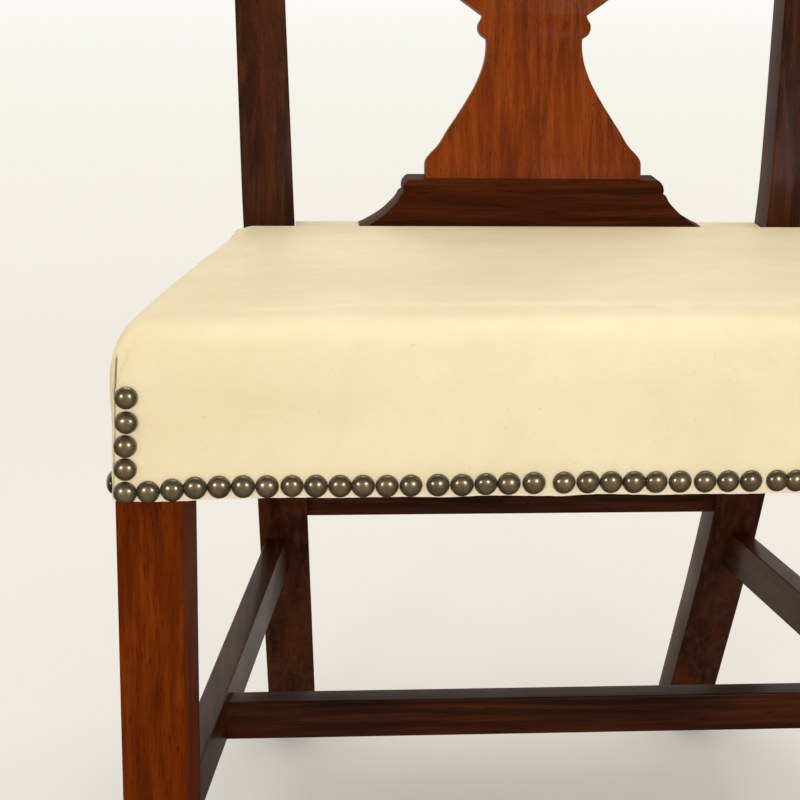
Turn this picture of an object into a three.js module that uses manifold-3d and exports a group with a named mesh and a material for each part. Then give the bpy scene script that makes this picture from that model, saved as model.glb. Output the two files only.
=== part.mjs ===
// Lyre back dining chair in mahogany, with a stuffed leather seat and brass nails.
// Millimetres, +Z up, +Y to the back, +X to the right as seen from the front.
// Every wooden piece is its own solid, joined by mortise and tenon with a small fitting gap.

import * as THREE from 'three';
import { mergeVertices } from 'three/addons/utils/BufferGeometryUtils.js';
import Module from 'manifold-3d';

const wasm = await Module();
wasm.setup();

// General fits
const FIT_GAP = 0.3;            // clearance between a piece and what it seats on
const OVERRUN = 10;             // how far a cutting shape runs past what it cuts
const TENON_THICKNESS = 9;
const TENON_LENGTH = 17;
const TENON_SHOULDER = 4;       // above and below a tenon
const WELD_DISTANCE = 0.0001;   // points closer than this are one point

// Seat frame, measured on the wood
const SEAT_FRAME_WIDTH = 531;   // across the outer faces of the front legs
const SEAT_FRAME_DEPTH = 421;   // front of the frame to the front of the rear posts
const RAIL_BOTTOM = 392;
const RAIL_TOP = 440;
const RAIL_THICKNESS = 22;
const REAR_RAIL_SETBACK = 8;    // front of the posts to the front of the rear rail

// Glides under the feet
const GLIDE_HEIGHT = 4;
const GLIDE_RADIUS = 10;
const GLIDE_EDGE = 1.5;
const GLIDE_PIN_RADIUS = 1.6;
const GLIDE_PIN_LENGTH = 12;
const FOOT_BOTTOM = GLIDE_HEIGHT + FIT_GAP;

// Front legs, straight and square to the side rails
const FRONT_LEG_WIDTH = 33;
const FRONT_LEG_DEPTH = 45;
const FRONT_LEG_CHAMFER = 3;    // the inner back arris

// Rear posts, leg and stile in one sawn piece
const BACK_WIDTH = 412.6;       // across both posts where the back bends
const BEND_HEIGHT = 470;
const BEND_EASING_LENGTH = 22;         // how softly the post turns at the seat
const CREST_SEAT_HEIGHT = 902;  // top shoulder of the posts
const POST_WIDTH_FOOT = 40;
const POST_WIDTH_SEAT = 37.4;
const POST_WIDTH_TOP = 33.5;
const POST_DEPTH_FOOT = 35;
const POST_DEPTH_SEAT = 34;
const POST_DEPTH_TOP = 24;
const STILE_RAKE_SHARE = 0.13;  // backward per upward, just above the bend
const LEG_RAKE_SHARE = 0.078;   // backward per downward, just below the bend
const STILE_BEND_RADIUS = 8300;
const LEG_BEND_RADIUS = 1015;
const LEG_STRAIGHT_HEIGHT = 110;  // below this the leg runs on straight
const STILE_SPREAD_SHARE = 0.0315; // each post moves out by this, going up
const LEG_DRAW_IN_SHARE = 0.042;   // each leg moves in by this, going down
const POST_STEPS = 22;
const POST_TENON_HEIGHT = 22;
const POST_TENON_WIDTH = 22;

// Stretchers
const STRETCHER_THICKNESS = 16;
const STRETCHER_HEIGHT = 31;
const STRETCHER_ROUNDING = 5;
const STRETCHER_ROUNDING_STEPS = 3;
const STRETCHER_TENON_THICKNESS = 8;
const MEDIAL_TENON_LENGTH = 9;
const SIDE_STRETCHER_TOP = 195;
const SIDE_STRETCHER_INSET = 5.3;   // from the outer faces of leg and post
const REAR_STRETCHER_BOTTOM = 214;
const MEDIAL_SETBACK = 205;         // front of the frame to the middle of the bar
const MEDIAL_DROP = 3;              // below the top of the side stretchers

// Crest rail
const CREST_HALF_WIDTH = 234;
const CREST_HEIGHT = 63;
const CREST_TOP_THICKNESS = 15;
const CREST_SWELL = 3;              // crown of the front face
const CREST_BOW = 12;               // hollow of the back, in plan
const CREST_STEPS = 56;
const CREST_STEP_EASING_SHARE = 0.5;  // how much closer the steps lie at the ears
const OUTLINE_EASING_SHARE = 0.5;     // how much the outline eases between table rows

// Shoe under the splat
const SHOE_TOP = 481;
const SHOE_TOP_WIDTH = 178;
const SHOE_DEPTH = 25;
const SHOE_SETBACK = 2;             // front of the shoe's top, behind the front of the posts
const SHOE_BEAD = 5.5;              // how far the bead stands past the top
const SHOE_FLARE = 27.5;            // how far the toes run out past the bead
const SHOE_FRONT_FLARE = 4.5;       // the same along the front
const SHOE_BEAD_HEIGHT = 10.5;

// Lyre splat, a pierced board
const SPLAT_THICKNESS = 12;
const SPLAT_FOOT_WIDTH = 153.5;
const SPLAT_SETBACK = 4;            // front of the board, behind the front of the shoe's top
const SPLAT_TONGUE_WIDTH = 128;
const SPLAT_TONGUE_LENGTH = 18;
const SPLAT_NECK_WIDTH = 112;       // where the board enters the crest
const SPLAT_CROWN_TONGUE_WIDTH = 92;
const SPLAT_CROWN_TONGUE_LENGTH = 15;
const LYRE_WIDTH = 160;             // across the swell of the arms
const LYRE_ARM_WIDTH = 21;
const LYRE_SCROLL_RADIUS = 13;
const STRING_COUNT = 5;
const STRING_RADIUS = 2.1;
const STRING_PITCH = 12;
const STRING_SEAT = 9;              // how far a string enters the board
const STRING_SIDES = 10;

// Upholstery
const LEATHER = 1;
const LEATHER_BOTTOM = 390.5;
const WEB_WIDTH = 50;
const WEB_THICKNESS = 1.6;
const WEB_COUNT_ACROSS = 4;
const WEB_COUNT_ALONG = 4;
const WEB_RAMP = 9;                 // length over which a web rises over another
const WEB_MARGIN = 5;               // web end to outer face of the rail
const HESSIAN = 1;
const HESSIAN_MARGIN = 3;
const HESSIAN_POST_GAP = 2.4;       // the cloth is cut this clear of the posts
const SEAT_FRONT_EDGE = 474;        // leather height at the front edge, before rounding
const SEAT_REAR_EDGE = 450.5;
const SEAT_CROWN = 7;
const SEAT_CROWN_SIDE_POWER = 2.6;  // power by which the crown falls to the sides
const SEAT_CROWN_LEAD_POWER = 0.85; // power that moves the crown forward
const SEAT_EDGE_ROUNDING = 18;
const SEAT_SIDE_REAR_ROUNDING = 9;  // the sides' rounding narrows to this at the back
const SEAT_REAR_ROUNDING = 8.5;
const SEAT_CORNER_PULL = 8;         // the leather is drawn down at the front corners
const SEAT_CORNER_REACH = 18;
const CORNER_TOP_POWER = 5;         // power of the front corners' outline, at the top
const CORNER_SKIRT_POWER = 12;      // the same along the rails, where they are tighter
const SEAT_BULGE = 1.2;             // how far the stuffing swells past the frame
const SEAT_BULGE_START = 404;
const SEAT_REAR_SETBACK = 7;        // stuffing ends this far in front of the posts
const PAD_GAP = 0.5;                // between the stuffing and the leather
const PAD_TUCK = 2.5;               // the pad's sides draw in by this at the bottom
const PAD_ROLL_STEPS = 1;           // the pad stops part of the way round the roll
const SEAT_COUNT_ACROSS = 12;       // facets of the seat, side to side
const SEAT_COUNT_ALONG = 9;         // the same from front to back
const SEAT_ROLL_STEPS = 3;
const LEATHER_WALL_SHARES = [0.3, 0.6, 1];
const PAD_WALL_SHARES = [0.5, 1];
const BULGE_DIP_SHARE = -0.25;      // low down the swell lies inside the flat skirt
const SKIRT_LAP_SHARE = 0.45;       // how far up the swell the flat skirt runs
const POST_COLUMN_STEPS = 6;
const DUST_CLOTH = 0.6;
const DUST_CLOTH_MARGIN = 7;

// Nail heads
const NAIL_RADIUS = 5.6;
const NAIL_HEIGHT = 3.2;
const NAIL_PITCH = 11.75;
const NAIL_EDGE = 6.4;              // leather's lower edge to the middle of a nail
const NAIL_CORNER_INSET = 6;        // middle of the corner nail to the corner
const NAIL_COLUMN_COUNT = 4;        // nails above the corner nail
const NAIL_SIDES = 8;
const NAIL_SINK = 0.5;              // how far the rim of a head is pressed into the leather

// Corner blocks and their screws
const BLOCK_REACH = 52;             // along each rail, from the inner corner of the frame
const BLOCK_HEIGHT = 34;
const BLOCK_DROP = 4;               // below the top of the rails
const SCREW_HEAD_RADIUS = 4.2;
const SCREW_SHANK_RADIUS = 2.1;
const SCREW_HEAD_HEIGHT = 2.6;
const SCREW_LENGTH = 29;
const SCREW_SIDES = 8;
const SCREW_PLACE_SHARES = [0.27, 0.73];  // along the long face of a block
const SCREW_HEIGHT_SHARE = 0.5;

const SIDE_TAPER = (SEAT_FRAME_WIDTH - BACK_WIDTH) / 2 / SEAT_FRAME_DEPTH;
const SIDE_LENGTHENING = Math.hypot(1, SIDE_TAPER);

// Materials
const mahogany = new THREE.MeshStandardMaterial({ color: 0x5a2410, roughness: 0.35, metalness: 0 });
const figured = new THREE.MeshStandardMaterial({ color: 0x7a3312, roughness: 0.3, metalness: 0 });
const beech = new THREE.MeshStandardMaterial({ color: 0xb08a5c, roughness: 0.7, metalness: 0 });
const leather = new THREE.MeshStandardMaterial({ color: 0xf0dfb5, roughness: 0.5, metalness: 0 });
const brass = new THREE.MeshStandardMaterial({ color: 0xa88648, roughness: 0.3, metalness: 1 });
const steel = new THREE.MeshStandardMaterial({ color: 0x8d8d8a, roughness: 0.4, metalness: 1 });
const webbing = new THREE.MeshStandardMaterial({ color: 0xb79b6b, roughness: 0.95, metalness: 0 });
const hessian = new THREE.MeshStandardMaterial({ color: 0xa98e62, roughness: 1, metalness: 0 });
const foam = new THREE.MeshStandardMaterial({ color: 0xd9cfae, roughness: 1, metalness: 0 });
const blackCloth = new THREE.MeshStandardMaterial({ color: 0x1c1b1a, roughness: 1, metalness: 0 });

const chair = new THREE.Group();
const EAST = new THREE.Vector3(1, 0, 0);
const UP = new THREE.Vector3(0, 0, 1);
const FRONT = new THREE.Vector3(0, -1, 0);
const BACK = new THREE.Vector3(0, 1, 0);

// Turns a closed geometry into a solid that can be cut and joined.
function solid(geometry) {
  const plain = geometry.clone();
  plain.deleteAttribute('normal');
  plain.deleteAttribute('uv');
  const welded = mergeVertices(plain, WELD_DISTANCE);
  return new wasm.Manifold(new wasm.Mesh({
    numProp: 3,
    vertProperties: new Float32Array(welded.attributes.position.array),
    triVerts: new Uint32Array(welded.index.array),
  }));
}

function addPart(name, material, body) {
  const shape = body.getMesh();
  const geometry = new THREE.BufferGeometry();
  geometry.setAttribute('position', new THREE.BufferAttribute(shape.vertProperties, 3));
  geometry.setIndex(new THREE.BufferAttribute(shape.triVerts, 1));
  geometry.computeVertexNormals();
  const mesh = new THREE.Mesh(geometry, material);
  mesh.name = name;
  chair.add(mesh);
}

function joined(bodies) {
  return bodies.reduce((whole, body) => whole.add(body));
}

function cutBy(body, cutters) {
  return cutters.reduce((rest, cutter) => rest.subtract(cutter), body);
}

function mix(a, b, share) {
  return a + (b - a) * share;
}

function clamp(value, low, high) {
  return Math.min(high, Math.max(low, value));
}

// Skins a list of rings, each with the same number of points, and closes both ends.
function loft(rings) {
  const count = rings[0].length;
  const points = rings.flat();
  const faces = [];
  for (let ring = 0; ring + 1 < rings.length; ring += 1) {
    for (let i = 0; i < count; i += 1) {
      const a = ring * count + i;
      const b = ring * count + (i + 1) % count;
      faces.push(a, b, b + count, a, b + count, a + count);
    }
  }
  const last = (rings.length - 1) * count;
  for (let i = 1; i + 1 < count; i += 1) {
    faces.push(0, i + 1, i);
    faces.push(last, last + i, last + i + 1);
  }
  const geometry = new THREE.BufferGeometry().setFromPoints(points);
  geometry.setIndex(faces);
  const body = solid(geometry);
  return body.volume() < 0 ? solid(turnedInsideOut(geometry)) : body;
}

function turnedInsideOut(geometry) {
  const index = geometry.index.array;
  for (let i = 0; i < index.length; i += 3) {
    [index[i + 1], index[i + 2]] = [index[i + 2], index[i + 1]];
  }
  return geometry;
}

// Runs a flat section straight from one point to another. The section's x axis lies
// along `sideways`, its y axis along what is square to both.
function prism(section, from, to, sideways) {
  const run = to.clone().sub(from);
  const length = run.length();
  const along = run.normalize();
  const across = sideways.clone().addScaledVector(along, -sideways.dot(along)).normalize();
  const up = along.clone().cross(across);
  const geometry = new THREE.ExtrudeGeometry(section, { depth: length, bevelEnabled: false });
  const place = new THREE.Matrix4().makeBasis(across, up, along).setPosition(from);
  return solid(geometry.applyMatrix4(place));
}

function rectangle(left, bottom, right, top) {
  return new THREE.Shape([
    new THREE.Vector2(left, bottom),
    new THREE.Vector2(right, bottom),
    new THREE.Vector2(right, top),
    new THREE.Vector2(left, top),
  ]);
}

function centredRectangle(width, height) {
  return rectangle(-width / 2, -height / 2, width / 2, height / 2);
}

// A level slab wider and deeper than the whole chair, to trim a piece to a height.
function slab(bottom, top) {
  const section = centredRectangle(4 * SEAT_FRAME_WIDTH, 4 * SEAT_FRAME_WIDTH);
  return prism(section, new THREE.Vector3(0, 0, bottom), new THREE.Vector3(0, 0, top), EAST);
}

// Mirrors a solid from the right half of the chair to the left half.
function mirrored(body) {
  return body.mirror([1, 0, 0]);
}

// Front legs

function outerFaceX(y) {
  return SEAT_FRAME_WIDTH / 2 - SIDE_TAPER * y;
}

function frontLegRing(z, grow) {
  const front = -grow;
  const back = FRONT_LEG_DEPTH + grow;
  const outer = (y) => outerFaceX(y) + grow;
  const inner = (y) => outerFaceX(y) - FRONT_LEG_WIDTH - grow;
  return [
    new THREE.Vector3(inner(front), front, z),
    new THREE.Vector3(outer(front), front, z),
    new THREE.Vector3(outer(back), back, z),
    new THREE.Vector3(inner(back) + FRONT_LEG_CHAMFER, back, z),
    new THREE.Vector3(inner(back - FRONT_LEG_CHAMFER), back - FRONT_LEG_CHAMFER, z),
  ];
}

function frontLeg(grow) {
  return loft([frontLegRing(FOOT_BOTTOM - grow, grow), frontLegRing(RAIL_TOP + grow, grow)]);
}

const LEG_CORNER_CUTS = [
  [-3, -3], [7, -3], [4.5, -0.1], [1.9, 0.65], [1.2, 1.2], [0.65, 1.9], [-0.1, 4.5], [-3, 7],
];

// Under the leather, each leg's outer front corner is taken off, so that it doesn't cut the
// hide: what is taken off, with places from the corner as distances inwards and back.
function legCornerWaste() {
  const outline = new THREE.Shape(LEG_CORNER_CUTS.map(([inwards, back]) => (
    new THREE.Vector2(outerFaceX(back) - inwards, back))));
  const low = new THREE.Vector3(0, 0, LEATHER_BOTTOM - FIT_GAP);
  const high = new THREE.Vector3(0, 0, RAIL_TOP + OVERRUN);
  return prism(outline, low, high, EAST);
}

// Rear posts

// Y of the front face of a rear post.
function postFrontY(z) {
  const rise = z - BEND_HEIGHT;
  const evenShare = (STILE_RAKE_SHARE - LEG_RAKE_SHARE) / 2;
  const turnShare = (STILE_RAKE_SHARE + LEG_RAKE_SHARE) / 2;
  const turned = evenShare * rise + turnShare * (Math.hypot(rise, BEND_EASING_LENGTH) - BEND_EASING_LENGTH);
  if (rise > 0) {
    return SEAT_FRAME_DEPTH + turned + rise * rise / (2 * STILE_BEND_RADIUS);
  }
  const bent = Math.min(-rise, BEND_HEIGHT - LEG_STRAIGHT_HEIGHT);
  const straight = -rise - bent;
  const bend = bent * bent / (2 * LEG_BEND_RADIUS) + straight * bent / LEG_BEND_RADIUS;
  return SEAT_FRAME_DEPTH + turned + bend;
}

function postOuterX(z) {
  const rise = z - BEND_HEIGHT;
  return BACK_WIDTH / 2 + rise * (rise > 0 ? STILE_SPREAD_SHARE : LEG_DRAW_IN_SHARE);
}

function betweenHeights(z, atFoot, atSeat, atTop) {
  if (z > BEND_HEIGHT) {
    return mix(atSeat, atTop, (z - BEND_HEIGHT) / (CREST_SEAT_HEIGHT - BEND_HEIGHT));
  }
  return mix(atFoot, atSeat, z / BEND_HEIGHT);
}

function postWidth(z) {
  return betweenHeights(z, POST_WIDTH_FOOT, POST_WIDTH_SEAT, POST_WIDTH_TOP);
}

function postDepth(z) {
  return betweenHeights(z, POST_DEPTH_FOOT, POST_DEPTH_SEAT, POST_DEPTH_TOP);
}

function postRing(z, grow) {
  const front = postFrontY(z) - grow;
  const back = postFrontY(z) + postDepth(z) + grow;
  const outer = postOuterX(z) + grow;
  const inner = postOuterX(z) - postWidth(z) - grow;
  return [
    new THREE.Vector3(inner, front, z),
    new THREE.Vector3(outer, front, z),
    new THREE.Vector3(outer, back, z),
    new THREE.Vector3(inner, back, z),
  ];
}

function rearPost(grow) {
  const rings = [];
  for (let step = 0; step <= POST_STEPS; step += 1) {
    rings.push(postRing(mix(FOOT_BOTTOM - grow, CREST_SEAT_HEIGHT + grow, step / POST_STEPS), grow));
  }
  return loft(rings);
}

function postMiddle(z) {
  return new THREE.Vector3(postOuterX(z) - postWidth(z) / 2, postFrontY(z) + postDepth(z) / 2, z);
}

// The tenon on top of a post, leaning as the post does.
function postTenon(grow) {
  const low = postMiddle(CREST_SEAT_HEIGHT - POST_TENON_HEIGHT);
  const lean = postMiddle(CREST_SEAT_HEIGHT).sub(low).normalize();
  const high = low.clone().addScaledVector(lean, 2 * POST_TENON_HEIGHT + grow);
  const section = centredRectangle(POST_TENON_WIDTH + 2 * grow, TENON_THICKNESS + 2 * grow);
  return prism(section, low, high, EAST);
}

// Rails and stretchers
// A bar has a body between its shoulders and one tenon running its whole length.
// `sockets` is the tenon with its fitting gap, which the legs and posts are cut by.
function bar({ from, to, thickness, height, section, against, tenonThickness = TENON_THICKNESS }) {
  const along = to.clone().sub(from).normalize();
  const sideways = along.clone().cross(UP);
  const shape = section ?? centredRectangle(thickness, height);
  const body = cutBy(prism(shape, from, to, sideways), against);
  const tenonHeight = height - 2 * TENON_SHOULDER;
  const tenon = prism(centredRectangle(tenonThickness, tenonHeight), from, to, sideways);
  const wide = centredRectangle(tenonThickness + 2 * FIT_GAP, tenonHeight + 2 * FIT_GAP);
  const socketFrom = from.clone().addScaledVector(along, -FIT_GAP);
  const socketTo = to.clone().addScaledVector(along, FIT_GAP);
  return { body: body.add(tenon), socket: prism(wide, socketFrom, socketTo, sideways) };
}

const rightLegBlank = frontLeg(0);
const rightLegGrown = frontLeg(FIT_GAP);
const leftLegGrown = mirrored(rightLegGrown);
const rightPostBlank = rearPost(0).add(postTenon(0));
const rightPostGrown = rearPost(FIT_GAP);
const leftPostGrown = mirrored(rightPostGrown);

const RAIL_HEIGHT = RAIL_TOP - RAIL_BOTTOM;
const RAIL_MIDDLE = (RAIL_TOP + RAIL_BOTTOM) / 2;

function frontRail() {
  const reach = outerFaceX(RAIL_THICKNESS / 2) - FRONT_LEG_WIDTH + TENON_LENGTH;
  return bar({
    from: new THREE.Vector3(-reach, RAIL_THICKNESS / 2, RAIL_MIDDLE),
    to: new THREE.Vector3(reach, RAIL_THICKNESS / 2, RAIL_MIDDLE),
    thickness: RAIL_THICKNESS,
    height: RAIL_HEIGHT,
    against: [leftLegGrown, rightLegGrown],
  });
}

// The side rails run flush with the outer faces of leg and post.
function sideRail() {
  const middleX = (y) => outerFaceX(y) - RAIL_THICKNESS / 2 * SIDE_LENGTHENING;
  const front = FRONT_LEG_DEPTH - TENON_LENGTH;
  const back = SEAT_FRAME_DEPTH + TENON_LENGTH;
  return bar({
    from: new THREE.Vector3(middleX(front), front, RAIL_MIDDLE),
    to: new THREE.Vector3(middleX(back), back, RAIL_MIDDLE),
    thickness: RAIL_THICKNESS,
    height: RAIL_HEIGHT,
    against: [rightLegGrown, postColumn(FIT_GAP)],
  });
}

function rearRail() {
  const y = SEAT_FRAME_DEPTH + REAR_RAIL_SETBACK + RAIL_THICKNESS / 2;
  const reach = postOuterX(RAIL_MIDDLE) - postWidth(RAIL_MIDDLE) + TENON_LENGTH;
  return bar({
    from: new THREE.Vector3(-reach, y, RAIL_MIDDLE),
    to: new THREE.Vector3(reach, y, RAIL_MIDDLE),
    thickness: RAIL_THICKNESS,
    height: RAIL_HEIGHT,
    against: [leftPostGrown, rightPostGrown],
  });
}

// A stretcher's section, its outer top arris rounded over.
function stretcherSection(roundedSide) {
  const half = STRETCHER_THICKNESS / 2;
  const top = STRETCHER_HEIGHT / 2;
  const shape = new THREE.Shape();
  shape.moveTo(-roundedSide * half, -top);
  shape.lineTo(roundedSide * half, -top);
  shape.lineTo(roundedSide * half, top - STRETCHER_ROUNDING);
  shape.quadraticCurveTo(roundedSide * half, top, roundedSide * (half - STRETCHER_ROUNDING), top);
  shape.lineTo(-roundedSide * half, top);
  const points = shape.getPoints(STRETCHER_ROUNDING_STEPS);
  return new THREE.Shape(roundedSide > 0 ? points : points.reverse());
}

const SIDE_STRETCHER_MIDDLE = SIDE_STRETCHER_TOP - STRETCHER_HEIGHT / 2;
const MEDIAL_MIDDLE = SIDE_STRETCHER_MIDDLE - MEDIAL_DROP;

function sideStretcherEnds() {
  const z = SIDE_STRETCHER_MIDDLE;
  const inset = SIDE_STRETCHER_INSET + STRETCHER_THICKNESS / 2;
  const front = new THREE.Vector3(outerFaceX(FRONT_LEG_DEPTH) - inset, FRONT_LEG_DEPTH, z);
  const back = new THREE.Vector3(postOuterX(z) - inset, postFrontY(z), z);
  return { front, back, along: back.clone().sub(front).normalize() };
}

function sideStretcher() {
  const { front, back, along } = sideStretcherEnds();
  return bar({
    from: front.clone().addScaledVector(along, -TENON_LENGTH),
    to: back.clone().addScaledVector(along, TENON_LENGTH),
    height: STRETCHER_HEIGHT,
    section: stretcherSection(1),
    tenonThickness: STRETCHER_TENON_THICKNESS,
    against: [rightLegGrown, rightPostGrown],
  });
}

// The bar between the side stretchers, which makes the H.
function medialStretcher(rightSide, leftSide) {
  const { front, back } = sideStretcherEnds();
  const share = (MEDIAL_SETBACK - front.y) / (back.y - front.y);
  const inner = mix(front.x, back.x, share) - STRETCHER_THICKNESS / 2;
  const reach = inner + MEDIAL_TENON_LENGTH;
  return bar({
    from: new THREE.Vector3(-reach, MEDIAL_SETBACK, MEDIAL_MIDDLE),
    to: new THREE.Vector3(reach, MEDIAL_SETBACK, MEDIAL_MIDDLE),
    height: STRETCHER_HEIGHT - 2 * MEDIAL_DROP,
    thickness: STRETCHER_THICKNESS,
    tenonThickness: STRETCHER_TENON_THICKNESS,
    against: [rightSide, leftSide],
  });
}

function rearStretcher() {
  const z = REAR_STRETCHER_BOTTOM + STRETCHER_HEIGHT / 2;
  const y = postFrontY(z) + postDepth(z) / 2;
  const reach = postOuterX(z) - postWidth(z) + TENON_LENGTH;
  return bar({
    from: new THREE.Vector3(-reach, y, z),
    to: new THREE.Vector3(reach, y, z),
    height: STRETCHER_HEIGHT,
    section: stretcherSection(1),
    tenonThickness: STRETCHER_TENON_THICKNESS,
    against: [leftPostGrown, rightPostGrown],
  });
}

// A side stretcher's full section, grown by the fitting gap, that the medial bar stops at.
function sideStretcherGrown() {
  const { front, back } = sideStretcherEnds();
  const section = centredRectangle(STRETCHER_THICKNESS + 2 * FIT_GAP, STRETCHER_HEIGHT + 2 * FIT_GAP);
  return prism(section, front, back, back.clone().sub(front).cross(UP));
}

// Crest rail

// Heights of the crest's upper and lower edges over the post shoulders, as shares of
// CREST_HEIGHT, at shares of CREST_HALF_WIDTH from the middle.
const CREST_UPPER_SHARES = [
  [0, 1], [0.12, 0.985], [0.26, 0.92], [0.42, 0.79], [0.58, 0.67], [0.72, 0.62], [0.84, 0.66],
  [0.93, 0.73], [0.975, 0.72], [1, 0.6],
];
const CREST_LOWER_SHARES = [
  [0, 0.03], [0.24, 0.03], [0.32, 0.07], [0.45, 0.16], [0.6, 0.2], [0.72, 0.12], [0.8, 0.01],
  [0.84, 0], [0.945, 0], [0.965, 0.1], [0.985, 0.3], [1, 0.46],
];

function alongTable(table, share) {
  let row = 1;
  while (row < table.length - 1 && table[row][0] < share) {
    row += 1;
  }
  const [startShare, startValue] = table[row - 1];
  const [endShare, endValue] = table[row];
  const part = clamp((share - startShare) / (endShare - startShare), 0, 1);
  const eased = part * part * (3 - 2 * part);
  return mix(startValue, endValue, mix(part, eased, OUTLINE_EASING_SHARE));
}

function crestBow(x) {
  const share = clamp(Math.abs(x) / (postOuterX(CREST_SEAT_HEIGHT) - POST_WIDTH_TOP / 2), 0, 1);
  return CREST_BOW * Math.cos(share * Math.PI / 2) ** 2;
}

function crestRing(x) {
  const share = Math.abs(x) / CREST_HALF_WIDTH;
  const bottom = CREST_SEAT_HEIGHT + FIT_GAP + CREST_HEIGHT * alongTable(CREST_LOWER_SHARES, share);
  const top = CREST_SEAT_HEIGHT + FIT_GAP + CREST_HEIGHT * alongTable(CREST_UPPER_SHARES, share);
  // Each row: share of the height, share of the thickness from front to back, swell share.
  const sectionShares = [
    [0, 0, 0], [0.3, 0, 0.7], [0.65, 0, 1], [0.88, 0.02, 0.8], [0.97, 0.18, 0], [1, 0.5, 0],
    [0.97, 0.84, 0], [0.86, 1, 0], [0.4, 1, 0], [0, 1, 0],
  ];
  return sectionShares.map(([heightShare, depthShare, swellShare]) => {
    const z = mix(bottom, top, heightShare);
    const thickness = mix(POST_DEPTH_TOP, CREST_TOP_THICKNESS, (z - CREST_SEAT_HEIGHT) / CREST_HEIGHT);
    const front = postFrontY(z) + crestBow(x);
    return new THREE.Vector3(x, front + depthShare * thickness - swellShare * CREST_SWELL, z);
  });
}

function crestRail() {
  const rings = [];
  for (let step = 0; step <= CREST_STEPS; step += 1) {
    // Steps lie closer together at the ears.
    const even = 2 * step / CREST_STEPS - 1;
    const share = mix(even, Math.sin(even * Math.PI / 2), CREST_STEP_EASING_SHARE);
    rings.push(crestRing(share * CREST_HALF_WIDTH));
  }
  return loft(rings);
}

// Splat and strings
// The board stands in the shoe and leans back to the crest, in one flat plane.

const SHOE_FRONT = SEAT_FRAME_DEPTH + SHOE_SETBACK;
const SPLAT_BASE = new THREE.Vector3(0, SHOE_FRONT + SPLAT_SETBACK + SPLAT_THICKNESS, SHOE_TOP + FIT_GAP);
const CREST_UNDERSIDE = CREST_SEAT_HEIGHT + FIT_GAP + CREST_HEIGHT * CREST_LOWER_SHARES[0][1];
const SPLAT_HEAD = new THREE.Vector3(
  0,
  postFrontY(CREST_UNDERSIDE) + crestBow(0) + POST_DEPTH_TOP / 2 + SPLAT_THICKNESS / 2,
  CREST_UNDERSIDE - FIT_GAP,
);
const SPLAT_UP = SPLAT_HEAD.clone().sub(SPLAT_BASE).normalize();
const SPLAT_HEIGHT = SPLAT_HEAD.distanceTo(SPLAT_BASE);
const SPLAT_FORWARD = EAST.clone().cross(SPLAT_UP);

// The right edge of the board, from the shoe up: shares of its height, and of half the
// foot's width. First the foot with its rounded shoulder, then the hollow sweep to the waist.
const SPLAT_FOOT_SHARES = [
  [0, 1], [0.02, 1], [0.028, 0.985], [0.036, 0.95], [0.044, 0.905], [0.052, 0.868],
  [0.062, 0.833], [0.075, 0.79], [0.095, 0.715], [0.12, 0.625], [0.15, 0.53], [0.18, 0.465],
  [0.205, 0.44], [0.222, 0.44],
];
// The collar under the lyre.
const SPLAT_COLLAR_SHARES = [[0.228, 0.49], [0.236, 0.515], [0.246, 0.515], [0.254, 0.49]];
// The lyre's arm: shares of the height, and of half the lyre's width.
const LYRE_ARM_SHARES = [
  [0.26, 0.46], [0.272, 0.55], [0.29, 0.68], [0.315, 0.81], [0.35, 0.925], [0.395, 0.99],
  [0.44, 1], [0.49, 0.96], [0.545, 0.87], [0.605, 0.755], [0.665, 0.66], [0.725, 0.61],
  [0.78, 0.605], [0.825, 0.64],
];
const SCROLL_CENTRE_SHARES = [0.905, 0.8];
const SCROLL_START_TURN_SHARE = -0.31;    // of a half turn, from straight out
const SCROLL_END_TURN_SHARE = 0.86;
const SCROLL_POINTS = 10;
const NECK_START_SHARE = 0.955;
// The opening between the arms, which the strings cross.
const OPENING_SHARES = [
  [0.298, 0], [0.3, 0.2], [0.31, 0.36], [0.33, 0.52], [0.36, 0.645], [0.4, 0.725],
  [0.44, 0.738], [0.49, 0.7], [0.545, 0.61], [0.605, 0.495], [0.665, 0.4], [0.725, 0.352],
  [0.78, 0.35], [0.83, 0.385], [0.858, 0.42], [0.868, 0.39],
];
const YOKE_BOTTOM_SHARE = 0.868;

function splatRightEdge() {
  const along = (share) => share * SPLAT_HEIGHT;
  const edge = [[SPLAT_FOOT_WIDTH / 2, -SPLAT_THICKNESS]];
  SPLAT_FOOT_SHARES.forEach(([v, u]) => edge.push([u * SPLAT_FOOT_WIDTH / 2, along(v)]));
  SPLAT_COLLAR_SHARES.forEach(([v, u]) => edge.push([u * SPLAT_FOOT_WIDTH / 2, along(v)]));
  LYRE_ARM_SHARES.forEach(([v, u]) => edge.push([u * LYRE_WIDTH / 2, along(v)]));
  const [scrollHeightShare, scrollWidthShare] = SCROLL_CENTRE_SHARES;
  for (let i = 0; i <= SCROLL_POINTS; i += 1) {
    const turn = mix(SCROLL_START_TURN_SHARE, SCROLL_END_TURN_SHARE, i / SCROLL_POINTS) * Math.PI;
    edge.push([
      scrollWidthShare * LYRE_WIDTH / 2 + LYRE_SCROLL_RADIUS * Math.cos(turn),
      along(scrollHeightShare) + LYRE_SCROLL_RADIUS * Math.sin(turn),
    ]);
  }
  edge.push([SPLAT_NECK_WIDTH / 2, along(NECK_START_SHARE)]);
  edge.push([SPLAT_NECK_WIDTH / 2, SPLAT_HEIGHT + SPLAT_THICKNESS]);
  return edge;
}

// A closed shape from the points of its right half, bottom to top.
function symmetricShape(rightEdge) {
  const leftEdge = rightEdge.map(([x, y]) => [-x, y]).reverse();
  const points = [...rightEdge, ...leftEdge].filter(([x, y], i, all) => {
    const [nextX, nextY] = all[(i + 1) % all.length];
    return Math.hypot(nextX - x, nextY - y) > 0;
  });
  return points.map(([x, y]) => new THREE.Vector2(x, y));
}

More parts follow.
